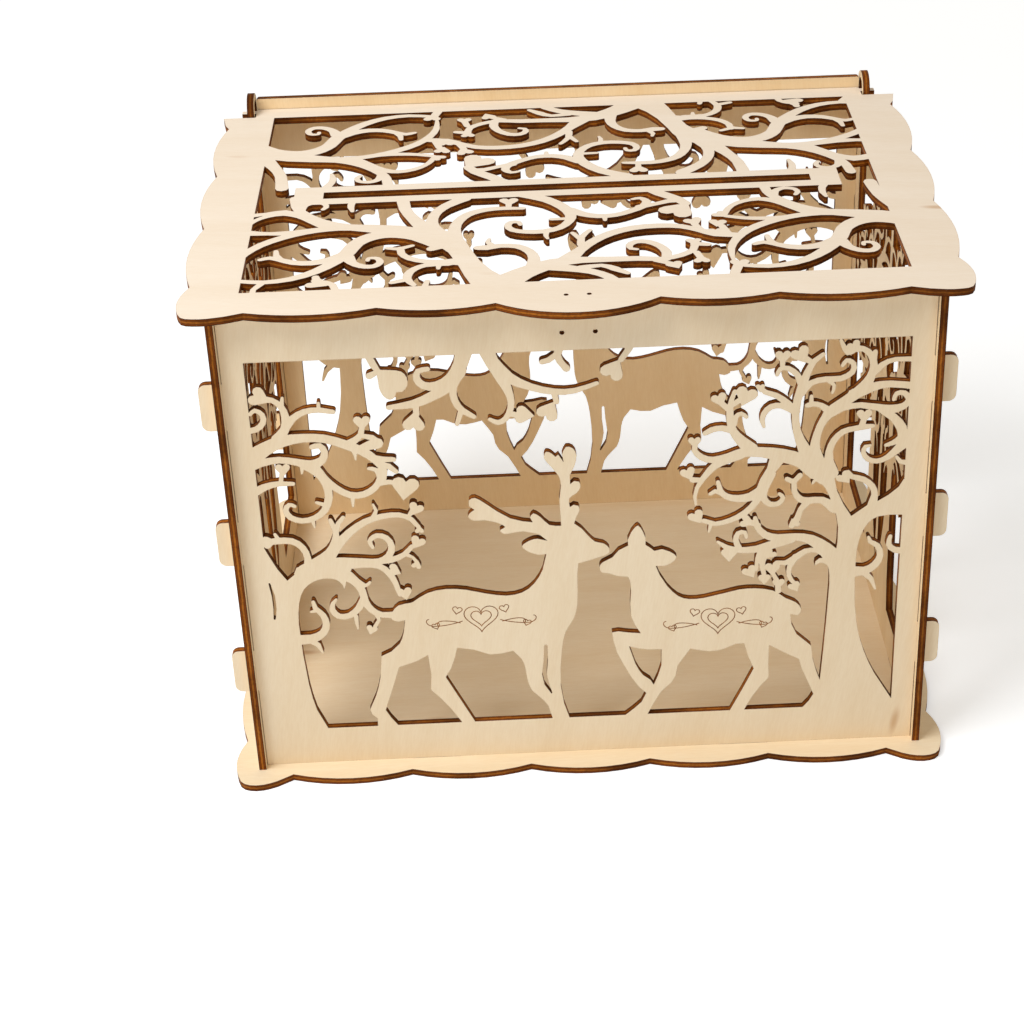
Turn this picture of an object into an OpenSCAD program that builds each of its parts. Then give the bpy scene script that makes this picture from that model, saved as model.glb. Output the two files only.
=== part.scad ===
// Wedding card box: six laser-cut plywood sheets, a scalloped base, four pierced panels
// and a scalloped, pierced lid that turns on its own pegs. Millimetres, +Z up, front at -Y.

/* [Sheet] */
// Thickness of the plywood sheet
ply = 3; // [2.6:0.1:3.6]
// Clearance on each side of a tab in its slot
slot_gap = 0.1; // [0.05:0.05:0.3]

/* [Box] */
// Width between the two side panels
inner_w = 271; // [250:1:290]
// Depth between the front panel and the back panel
inner_d = 198.7; // [190:0.1:210]
// Height of the panels, from the base plate to the lid
panel_h = 209; // [200:1:225]
// Distance that the side panels stand out past the front and the back panel
side_proud = 3.6; // [2.5:0.1:5]

/* [Tabs] */
// Length of a tab along its panel's edge
tab_w = 20; // [14:1:26]
// Distance that a side tab reaches past the side panel
tab_reach = 6; // [3:0.5:8]
// Radius of a side tab's outer corners
tab_r = 3; // [1:0.5:4]
// Height of the lowest side tab's middle
tab_first = 48; // [40:0.5:56]
// Distance from one side tab to the next
tab_pitch = 61; // [54:0.5:64]
// Distance from the middle of the front or the back panel to a bottom tab's middle
foot_tab_x = 64.5; // [50:0.5:90]
// Distance from the middle of a side panel to a bottom tab's middle
foot_tab_y = 55; // [40:1:75]

/* [Pierced windows] */
// Height of the bottom rail under each panel's window
bottom_rail = 17.5; // [14:0.5:24]
// Height of the top rail over each panel's window
top_rail = 20.5; // [16:0.5:26]
// Width of the front and the back panel's upright rails
side_rail = 8.9; // [7:0.1:12]
// Width of the middle post in each side panel's window
post_w = 5; // [3:0.5:8]
// Width of the side panels' upright rails, measured inside the front and the back panel
deep_rail = 10; // [8:0.5:16]

/* [Lid] */
// Width of the lid from cusp to cusp
lid_cusp_w = 291; // [286:1:310]
// Distance from the front panel's face forward to the lid's front cusps
lid_cusp_y = 6.2; // [5:0.1:9]
// Depth of the lid's middle front lobe
lid_tongue = 10.4; // [6:0.1:14]
// Depth of the lid's other lobes
lid_lobe = 3.8; // [2:0.1:5]
// Width of the lid's window
lid_window_w = 253; // [230:1:254]
// Distance from the front panel's face back to the lid's window
lid_window_y = 11; // [6:0.5:16]
// Length of the lid's window, front to back
lid_window_d = 179.5; // [160:0.5:182]
// Gap between the closed lid and the panels under it
lid_seat = 0.3; // [0.2:0.05:0.5]
// Length of the card slot
card_slot_w = 199.5; // [150:0.5:205]
// Width of the card slot
card_slot_d = 6.4; // [4:0.2:9]
// Width of the bar that holds the card slot
slot_bar_d = 18; // [14:0.5:22]

/* [Hinge] */
// Distance from the hinge axis forward of the back panel
axis_to_back = 1.5; // [1.2:0.1:2.5]
// Width of the square hinge peg
peg_w = 3.4; // [2.8:0.1:4]
// Distance from the hinge axis forward to the peg
peg_lead = 0.4; // [0:0.1:0.8]
// Distance that a peg reaches past its side panel
peg_reach = 2.7; // [2:0.1:5]
// Clearance between the peg's far corner and its hole
peg_gap = 0.3; // [0.2:0.05:0.6]
// Gap between the lid and the ears, and between the lid and the back panel
ear_gap = 0.3; // [0.25:0.05:0.5]
// Height of the back panel's raised strip over the panels
back_rise = 8.2; // [5:0.1:9]
// Distance from a side panel in to the raised strip's end
strip_inset = 0.5; // [0.3:0.1:4]
// Distance from a side panel in to the lid's tongue between the ears
tongue_inset = 0.6; // [0.4:0.1:3]

/* [Base] */
// Width of the base plate from cusp to cusp
base_cusp_w = 290; // [286:1:310]
// Distance from the panels' faces out to the base plate's front and rear cusps
base_cusp_y = 7.6; // [6:0.1:10]
// Depth of the base plate's lobes
base_lobe = 4.4; // [2:0.1:6]

/* [Catch holes] */
// Diameter of a pilot hole
pilot_d = 1.8; // [1:0.1:2.5]
// Distance between the front panel's pilot holes
panel_pilot_pitch = 12.6; // [8:0.1:20]
// Distance from the lid down to the front panel's pilot holes
panel_pilot_drop = 13; // [6:0.5:16]
// Distance between the lid's pilot holes
lid_pilot_pitch = 8.6; // [6:0.1:20]
// Distance from the front panel's face forward to the lid's pilot holes
lid_pilot_y = 1.5; // [0:0.5:4]

/* [Hidden] */

// The box is drawn with y = 0 at the front panel's face and z = 0 at the panels' foot
back_y = ply + inner_d;
box_d = back_y + ply;
mid_y = box_d / 2;
axis_y = back_y - axis_to_back;
axis_z = panel_h + ply;
ear_r = axis_to_back + ply + side_proud;
wing_y = axis_y - ear_r - ear_gap;
half_w = inner_w / 2;
hole_r = norm([peg_w + peg_lead, ply - lid_seat]) + peg_gap;
lid_back_y = back_y - ear_gap;
tongue_w = inner_w - 2 * tongue_inset;
strip_r = 1.2;
tongue_r = 1.5;
corner_out = 6.5;
base_front_y = -base_cusp_y - corner_out;
lid_front_y = -lid_cusp_y - lid_tongue;
origin_y = (lid_front_y + 2 * mid_y - base_front_y) / 2;
cream = [0.93, 0.84, 0.70];
tan_wood = [0.88, 0.77, 0.60];

// Sizes that the pierced designs are drawn at; each is stretched to its window
DEER_ART = [253.2, 171];
DEER_ART_FOOT = 17.5;
LID_ART = [253, 179.5];
LID_ART_MID = [0, 101.2];
LID_TURN_MID = [3, 102.2];
TREE_ART = [92, 171];
TREE_X = 127;

// ---- Curves ----

// Farthest that a curve's straight steps may lie from the true curve
CHORD_ERROR = 0.085;
// Half the width of the gaps that close up
HAIRLINE = 0.022;

// Angle between the ways u and v
function bend(u, v) = acos(max(-1, min(1, [u.x, u.y] * [v.x, v.y]
                                          / (norm([u.x, u.y]) * norm([v.x, v.y])))));

// Number of straight steps from b to c on a curve that turns there, with a before and d after
function steps(a, b, c, d) =
    let (before = norm(b - a) > 0 ? bend(b - a, c - b) : 0,
         after = norm(d - c) > 0 ? bend(c - b, d - c) : 0,
         rise = norm([c.x - b.x, c.y - b.y]) * (before + after) / 2 * PI / 180 / 8)
    max(1, min(6, round(sqrt(rise / CHORD_ERROR) + 0.1)));

// Point at t on the smooth curve that passes b and c, with a before and d after them
function between(a, b, c, d, t) =
    0.5 * (2 * b + (c - a) * t + (2 * a - 5 * b + 4 * c - d) * t * t
           + (3 * b - a - 3 * c + d) * t * t * t);

// Smooth open curve through the points p
function curve(p) =
    let (last = len(p) - 1)
    concat([for (i = [0:last - 1],
                 a = [p[max(i - 1, 0)]], d = [p[min(i + 2, last)]],
                 n = [steps(a, p[i], p[i + 1], d)], k = [0:n - 1])
                between(a, p[i], p[i + 1], d, k / n)],
           [p[last]]);

// Arc from a to b that stands out by rise to the right of the way from a to b
function arc(a, b, rise, n = 8) =
    let (half = norm(b - a) / 2,
         r = (half * half + rise * rise) / (2 * rise),
         mid = (a + b) / 2,
         out = [(b - a).y, -(b - a).x] / norm(b - a),
         centre = mid - out * (r - rise),
         start = atan2((a - centre).y, (a - centre).x),
         sweep = 2 * asin(half / r))
    [for (k = [0:n]) centre + r * [cos(start + sweep * k / n), sin(start + sweep * k / n)]];

// Run of equal arcs from a to b
function scallops(a, b, count, rise) =
    [for (i = [0:count - 1], q = arc(a + (b - a) * i / count, a + (b - a) * (i + 1) / count, rise)) q];

function mirror_x(p) = [for (i = [len(p) - 1:-1:0]) [-p[i].x, p[i].y]];

// Direction across the curve s at its point i
function across(s, i) =
    let (d = s[min(i + 1, len(s) - 1)] - s[max(i - 1, 0)]) [-d.y, d.x] / norm([d.x, d.y]);
function edge_of(s, i, side) = [s[i].x, s[i].y] + across(s, i) * side * s[i].z / 2;

// One vine: a smooth stem through stations [x, y, width], with a round tip
module vine(stations) {
    s = curve(stations);
    last = len(s) - 1;
    for (i = [0:last - 1])
        polygon([edge_of(s, i, 1), edge_of(s, i + 1, 1), edge_of(s, i + 1, -1), edge_of(s, i, -1)]);
    for (i = [0, last])
        translate([s[i].x, s[i].y]) circle(d = s[i].z, $fn = 8);
}

module vines(list) {
    for (v = list) vine(v);
}

// Outline of a heart 1 high with its point down: two round lobes and straight sides
HEART_LOBE = [for (t = [-40:40:160]) [0.254, 0.2] + 0.27 * [cos(t), sin(t)]];
HEART = concat([[0, -0.53]], HEART_LOBE, mirror_x(HEART_LOBE));

// Heart-shaped bud [x, y, size, turn]
module bud(b) {
    translate([b[0], b[1]]) rotate(b[3]) scale(b[2]) polygon(HEART);
}

module buds(list) {
    for (b = list) bud(b);
}

// ---- Deer, trees and hanging branches of the front and the back panel ----

STAG = concat(
    [[-88, 14], [-88, 21.4]],
    curve([[-90, 23.5], [-90.7, 26], [-87.7, 33], [-85.3, 42], [-84.2, 52.5]]),
    curve([[-80, 54.6], [-76.3, 58.3], [-74.4, 63.5], [-73.4, 69.6]]),
    curve([[-76, 69], [-78.8, 70.2], [-78.4, 73.6], [-75.6, 76.9], [-70.6, 77.9]]),
    curve([[-69.5, 78.4], [-63.5, 82.3], [-56, 83.8], [-48, 83], [-40, 80.8], [-32, 79.4],
           [-25.5, 80.6], [-20.6, 84.6], [-17, 91], [-15.3, 98.2]]),
    curve([[-18.5, 98], [-22, 99.4], [-24.9, 102.4], [-21.5, 105], [-18.4, 105.6], [-14.6, 104.5]]),
    curve([[-18, 107.7], [-24, 109.3], [-28, 108.9], [-31.5, 108.4], [-33.3, 110.2], [-31.2, 111.8],
           [-34.5, 113.9], [-39, 115.2], [-43.5, 115.2], [-45.6, 117.2], [-44.3, 119.2],
           [-42.9, 120.2]]),
    curve([[-44.9, 121.8], [-44.8, 124.6], [-42.4, 125.6], [-38.6, 123], [-34.2, 119.2],
           [-29, 115.6], [-24, 114], [-20.2, 113.4]]),
    curve([[-21.2, 115.6], [-19.8, 117.5], [-17, 115.6], [-13.6, 111.8], [-9, 111.2]]),
    curve([[-9.2, 117], [-9.4, 123], [-8.6, 129.5], [-9.4, 134], [-12, 138], [-14.8, 142],
           [-13.9, 145], [-11.7, 144.1], [-10.3, 142.6]]),
    curve([[-9.2, 143.6], [-8.2, 141.8], [-7.2, 140]]),
    curve([[-7.8, 143.5], [-6.2, 146.8], [-3.4, 146], [-2.1, 142.6], [-3, 138.2], [-4.9, 134],
           [-4.9, 130]]),
    curve([[-3.4, 131.4], [-1.5, 131], [-0.9, 128.6], [-2.5, 125.8], [-5.4, 123.6], [-5.3, 119.6]]),
    curve([[-3.8, 120.6], [-1.9, 120], [-1.6, 117.6], [-2.9, 114.8], [-3.8, 112]]),
    curve([[-1, 109.6], [1.4, 106.4], [4.2, 103.2], [7.6, 102.2], [9.9, 99.8], [9.5, 97.2],
           [6.2, 95.8], [2.2, 94.5], [-2.6, 93.2]]),
    curve([[-3.1, 88], [-3.2, 80], [-3.5, 73.5], [-5, 67], [-8.6, 60.5], [-10.3, 52], [-11.1, 43],
           [-11.3, 34], [-10.2, 25], [-8, 17]]),
    [[-8, 14], [-15.2, 14]],
    curve([[-15.2, 17.5], [-16.9, 24], [-20.2, 28.6], [-23.3, 32], [-25, 37.5], [-25.6, 43],
           [-27, 48], [-30.3, 52.3]]),
    curve([[-35, 51.2], [-40, 51], [-46, 53.6], [-53, 55]]),
    curve([[-54.3, 50], [-56, 45], [-58.5, 40.7]]),
    [[-47.5, 17.5], [-47.5, 14], [-53, 14], [-53, 17.5]],
    curve([[-57.5, 25], [-61.5, 30.6], [-65, 34.5]]),
    curve([[-64.4, 42], [-65.2, 52]]),
    curve([[-70, 49.2], [-77.3, 46.6]]),
    [[-80.5, 36.5], [-84.2, 25.4]],
    curve([[-82.2, 21.4], [-79.6, 17.5]]),
    [[-79.6, 14]]);

STAG_LEG_SLIT = [[-16.9, 54, 1.3], [-17.1, 47, 1.7], [-17.9, 40, 1.9], [-17.1, 35, 1.9], [-15.2, 30.4, 0.5]];

DOE = concat(
    [[15.3, 14], [15.3, 17.5]],
    curve([[19.2, 20.9], [22, 23.7], [24, 28.2]]),
    curve([[21, 31.5], [18, 36.3], [15, 42.6], [12.2, 49], [10.8, 55], [10.3, 59.3]]),
    curve([[13, 59.7], [17, 58.9], [22, 58.3]]),
    curve([[19.6, 62.6], [18.1, 67], [17.9, 73], [18.3, 79], [18, 83.4], [17.2, 85.8]]),
    curve([[12.8, 86.4], [9.8, 87.8], [6.6, 88.4], [5.8, 91], [7, 93.2], [11, 95.4], [13.6, 98.6],
           [17.4, 100.6]]),
    curve([[17.3, 103.4], [18.7, 106.8], [21.4, 109.8], [23.4, 106.8], [24.4, 104], [24.4, 100.6]]),
    curve([[26, 99.4], [27.9, 97.6]]),
    curve([[31, 98.3], [34, 97], [36.8, 94.4], [34.8, 91.6], [31.6, 90.2], [28.4, 90.4]]),
    curve([[30, 86], [33, 80.6], [37.4, 75.6], [42, 73.9], [48, 74.2], [55, 75.8], [62, 77.5],
           [69, 77.7], [76, 76.2], [81, 72.4], [85.2, 70.2], [87.6, 66.8], [86.4, 63.8],
           [83.2, 64.4]]),
    curve([[83.8, 59.5], [86, 54.5], [89.6, 51], [92.2, 48.4]]),
    curve([[93, 42], [94.6, 36], [96.3, 31]]),
    [[98, 14], [89.5, 14], [89.5, 17.5]],
    curve([[92, 20.6], [93.8, 24]]),
    curve([[90.8, 31.5], [88.6, 37], [87.2, 42]]),
    curve([[81, 45.6], [74.8, 49.6]]),
    curve([[74.7, 41], [75, 33.4]]),
    curve([[71.4, 29], [68, 23.6], [65, 17.5]]),
    [[65, 14], [59, 14], [59, 17.5]],
    curve([[63.8, 27.6], [68.6, 38.2]]),
    curve([[66.2, 44.5], [64.4, 51]]),
    curve([[61, 50.9], [56, 48.6], [50, 47.8], [42.4, 49.5]]),
    curve([[39.4, 45], [37.2, 41.4], [36.4, 36.6], [34.6, 32.9], [30.4, 28.8], [27, 22.6],
           [24.6, 17.5]]),
    [[24.6, 14]]);

DOE_LEG_GAP = concat(
    curve([[17.2, 52], [20.8, 50.8], [25, 50], [30.5, 49.8]]),
    curve([[30.4, 42], [29, 37], [27.2, 32.3]]),
    curve([[25.8, 34.9], [22.8, 37.4], [19.8, 43], [17.2, 52]]));

// Small tree at the left rail
SMALL_TRUNK = concat(
    [[-130, 14], [-108.7, 14]],
    curve([[-108.7, 17.5], [-112.5, 27], [-114.7, 40], [-115.8, 55], [-116.2, 70], [-115.2, 80],
           [-112.7, 86.5], [-108.4, 90], [-103.5, 91.2], [-99.6, 90.4], [-97.3, 88], [-96.6, 85.6]]),
    curve([[-95.3, 90], [-93, 95]]),
    curve([[-100, 99], [-109, 97.3]]),
    [[-112.2, 96.7], [-119, 91]],
    curve([[-122.4, 96.6], [-125.2, 103], [-126.8, 107]]),
    [[-130, 107]]);

SMALL_TREE = [
    [[-104, 95, 7], [-97, 93.2, 6], [-92.3, 89.5, 4], [-89.6, 84.5, 3.2], [-88.8, 79.5, 3.2],
     [-86.5, 75.3, 3], [-82.5, 72.7, 2.8], [-76.5, 72.5, 3.4]],
    [[-92, 89.8, 3], [-88.2, 87, 2], [-86.2, 88.6, 1.2]],
    [[-89.2, 81, 3], [-91.5, 76.5, 3], [-95.5, 73, 2.8], [-99.8, 72.9, 2.8], [-102.2, 76, 2.6],
     [-101.6, 79.4, 1.8], [-100.3, 81, 1.2]],
    [[-93, 72.5, 2], [-92.9, 69.5, 1.6], [-92.6, 66.4, 0.8]],
    [[-84.5, 73, 2.4], [-83.9, 70.3, 1.5], [-85.6, 67.2, 1.8]],
    [[-118, 62.3, 5], [-111.5, 62.5, 4.4], [-106.8, 65.2, 3.4], [-105.2, 69.5, 3],
     [-106.3, 74, 2.6], [-109, 77.3, 2.2], [-109.6, 80.3, 1.6]],
    [[-108, 76.2, 2], [-110.8, 75.6, 1.2]],
    [[-112.5, 62, 3], [-109.3, 59.3, 2.4], [-107.8, 55.6, 1]],
    [[-112, 94, 8], [-104, 97.5, 6], [-96, 98.6, 4.4], [-88, 98.4, 3.2], [-82, 98, 3.2],
     [-77.8, 100.6, 3], [-76.4, 105, 2.8], [-78.3, 109, 2.6], [-82, 110.2, 2.4],
     [-84.9, 107.8, 2], [-83.9, 104.8, 1.6]],
    [[-96, 97, 4], [-88, 97, 3], [-82, 96, 2.8], [-78.2, 92.3, 2.8], [-76, 87.5, 2.4],
     [-74.6, 82, 2]],
    [[-84, 98, 3], [-77, 98.6, 2.8], [-71.5, 101, 2.4], [-68.3, 104.6, 2]],
    [[-71, 100.9, 1.8], [-68.4, 99.4, 1.4], [-67, 97.3, 1.6]],
    [[-112, 95, 6], [-106, 99, 5], [-101, 103.2, 4], [-98.6, 108, 3.2], [-97.9, 113, 2.4],
     [-99.6, 118.2, 1.8]],
    [[-97.8, 112.5, 2.4], [-96.6, 116.6, 2], [-94.5, 119.2, 1.8]],
    [[-101, 101, 4], [-97.6, 106.5, 4], [-92.5, 112.2, 3.4], [-86, 116.8, 3], [-79, 119, 2.6],
     [-72.5, 119.3, 2.4], [-67.8, 117, 2.2], [-65.2, 113.4, 1.8]],
    [[-83, 118.2, 2.2], [-81.4, 121.8, 1.6], [-82.4, 124.6, 1]],
    [[-68.5, 119, 1.8], [-67, 121.4, 2]],
    [[-110.6, 95, 3], [-109.9, 101, 2.8], [-111.5, 106, 2.8], [-115.5, 109.3, 3],
     [-122, 109.6, 3], [-130, 108.6, 2.4]],
    [[-120.6, 110, 2], [-121.8, 112.8, 1.4]],
    [[-130, 146, 8], [-122, 151.3, 6], [-115, 154.4, 5], [-107, 155.4, 3.9], [-99, 154.8, 3.8],
     [-91.5, 152, 4], [-85, 148.8, 4], [-79.8, 144.3, 3.4], [-77, 139.5, 2.8], [-77.6, 135.8, 2.6]],
    [[-117, 155, 5], [-113.6, 159.5, 3.6], [-112.9, 165, 3.2], [-114.2, 169.5, 2.6],
     [-117.3, 172.3, 2.4], [-121, 173, 3]],
    [[-113.9, 169.8, 2], [-113.3, 173.2, 1.2]],
    [[-113.4, 160, 3.4], [-110.3, 164, 3], [-105.6, 166.8, 2.6], [-100, 167.4, 2.4],
     [-94.6, 166.3, 2]],
    [[-99.9, 167, 1.6], [-99.9, 170.3, 1.4]],
    [[-91, 151.5, 3.4], [-87.4, 153.4, 3], [-84.8, 156, 2.4], [-84, 159.4, 2.2]],
    [[-86, 149.4, 3], [-82, 151, 4], [-78.8, 151.8, 5]],
    [[-84.4, 155.4, 2], [-80.6, 154.4, 2.6], [-78.4, 152, 3]],
    [[-81, 145.4, 3], [-77, 144.6, 2.6], [-73, 144.4, 2.2]],
    [[-78.2, 142.4, 2.8], [-75, 141.4, 2.6], [-72.3, 138.9, 1.9]],
    [[-88.3, 149.5, 2.2], [-87.6, 147, 1.4], [-87.6, 145, 0.8]],
    [[-130, 143, 4], [-124, 145.2, 3.4], [-117, 146.2, 3], [-110.5, 145, 3.2], [-105, 143.4, 4.4],
     [-100.5, 145.4, 3.4], [-99.3, 149, 2.8], [-101, 151.8, 2.6], [-104, 151.3, 2.2]],
    [[-107, 143.5, 4.4], [-102.3, 139.8, 4.2], [-99.8, 134.5, 3.4], [-99.3, 128.5, 3.2],
     [-101.4, 122.8, 3], [-105.5, 119.5, 2.6], [-110.5, 118.4, 2.6], [-115, 120.2, 2.6],
     [-116.6, 123.6, 2.4], [-115, 126, 2], [-112.9, 125.2, 1.6]],
    [[-106.5, 118.8, 2], [-106, 115.2, 0.9]],
    [[-100.5, 125, 2.2], [-104.3, 126.5, 1.4]],
    [[-108.4, 143, 2], [-108.8, 139.8, 0.9]],
    [[-103, 142, 3], [-100.3, 137.3, 3], [-96.2, 132.6, 3], [-91, 129.3, 3], [-85.5, 129.3, 3],
     [-81, 132.2, 2.8], [-78.9, 136.3, 2.4], [-80, 140, 2.2], [-82.8, 140.8, 1.6]],
    [[-90, 128.5, 2], [-90.2, 124, 0.9]],
    [[-79.5, 134, 2.6], [-75.5, 134.4, 2.2], [-71, 133.6, 2.4]],
    [[-130, 131, 4], [-124, 134.3, 3.2], [-118, 135.7, 2.4], [-112.6, 135.4, 1.8]],
    [[-117.3, 136, 1.8], [-116.6, 140, 1.7]],
    [[-129, 159.3, 2.6], [-124.5, 160, 2.6], [-121.6, 162.8, 2.4], [-121.6, 166.3, 2.2],
     [-124.2, 168.2, 2], [-126.2, 166.6, 1.5]]];

SMALL_TREE_BUDS = [
    [-87.2, 65.6, 4.6, -20], [-76.2, 93.4, 6, 60], [-72.6, 82.4, 6, 10], [-66.2, 106.2, 6, -30],
    [-67, 95.9, 4, 160], [-66, 121.6, 6, -30], [-65, 112.2, 3.6, 180], [-124.4, 109.3, 5.6, 100],
    [-121.9, 173.6, 8, 60], [-84, 161, 6.4, 0], [-69.4, 131.2, 10.4, -10], [-116, 141.8, 5.6, 0]];

SMALL_TRUNK_SLIT = [[-126.2, 89.8, 0.7], [-125.2, 84, 1.2], [-125.1, 78, 1.2], [-125.7, 73, 0.8]];

// Branches that hang from the top rail
HANGING = [
    [[-42.5, 193, 7], [-45, 184.5, 5.6], [-49, 178.3, 5], [-54.5, 175.6, 4], [-59.5, 176, 3.4],
     [-61.9, 179, 3], [-61.2, 182.2, 2.4], [-57.6, 182.9, 2.2]],
    [[-45.5, 181, 5], [-50, 175.5, 5], [-56.5, 171.3, 4.2], [-64, 168.2, 3.6], [-73.4, 167.2, 2]],
    [[-45.2, 182, 5], [-48.3, 175, 3.2], [-48, 169, 2.8], [-45.3, 164.5, 2.8], [-41, 161.6, 2]],
    [[-45.8, 164.4, 2.4], [-47.6, 158.8, 1.8]],
    [[-63, 168, 2.6], [-62.9, 163.6, 2.4]],
    [[-36.2, 193, 6.4], [-33, 184.5, 5.2], [-29.4, 177, 4.6], [-26.9, 170.3, 3], [-26.8, 164.8, 2.6],
     [-28.9, 160.3, 2.4], [-32, 158.7, 2.4], [-35, 160.3, 1.6]],
    [[-33, 185, 5], [-27, 177.8, 4.6], [-19, 173.6, 3.2], [-10, 171.1, 2.8], [-2, 171.2, 2.4],
     [6.4, 174, 1.8]],
    [[-27.2, 162.4, 2.4], [-24, 161.4, 2.8]],
    [[-10, 170.6, 2.4], [-9.2, 166.6, 2.2]],
    [[-6.4, 193, 4], [-8.3, 186.5, 3], [-6.2, 182.3, 2.6], [-5, 180.8, 3]],
    [[-8.5, 187, 2.4], [-11.8, 184.6, 2.4], [-14.2, 184, 2.2]],
    [[20, 193, 6], [18.4, 187.4, 2.6], [15.8, 183.6, 2.4]],
    [[-76.5, 182.6, 2], [-79.7, 181, 2.8]]];
HANGING_BUDS = [
    [-64.1, 160.6, 8.4, 172], [-21.6, 161.6, 7.4, 80], [-12.2, 163, 8.4, 150], [12.9, 179.6, 9, 150]];
HANGING_LEAF = concat(
    [[-82, 192]],
    curve([[-80.6, 188.5], [-79, 184.6], [-76.8, 181.4], [-76.4, 176], [-75, 172.2], [-72.6, 170.5],
           [-70.6, 171.6], [-69.9, 173.6]]),
    curve([[-67.6, 173.6], [-65.6, 176], [-65.6, 179.8], [-67.6, 182.4], [-71.4, 183.2],
           [-75.4, 183.5]]),
    [[-77.6, 188.5], [-77.6, 192]]);

// Big tree at the right rail
BIG_TRUNK = concat(
    [[93, 14], [96.3, 31]],
    curve([[97.2, 46], [98, 62], [98.6, 78], [98.2, 85], [97, 87.6], [94.6, 88.6], [92.4, 87.4]]),
    curve([[92.6, 89.4], [94.2, 90.8], [97, 91]]),
    curve([[99.6, 92], [100.6, 93]]),
    curve([[101.2, 98], [101.2, 105], [100.2, 111], [97.8, 116.6], [97.6, 118.6]]),
    curve([[95.6, 123], [92.2, 127.8], [88.2, 131], [84.4, 132.8]]),
    [[84.4, 139.6], [88.8, 136.4], [94.6, 135.3], [98.6, 135.3]],
    curve([[98.8, 129], [100.2, 122], [103, 115.6], [106.3, 110]]),
    curve([[112.8, 115], [114.6, 116.2], [115.9, 116]]),
    curve([[120.6, 119], [124.6, 122.6], [126.4, 126]]),
    [[130, 126], [130, 109.6], [126.6, 109.6]],
    curve([[121.5, 109.8], [117, 109.2], [113.2, 106.4], [110.6, 101], [109.2, 94], [108.9, 86],
           [109, 78], [109.4, 68], [110.8, 57], [114, 45], [118.8, 33.5], [126.6, 20]]),
    [[130, 20], [130, 14]]);

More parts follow.
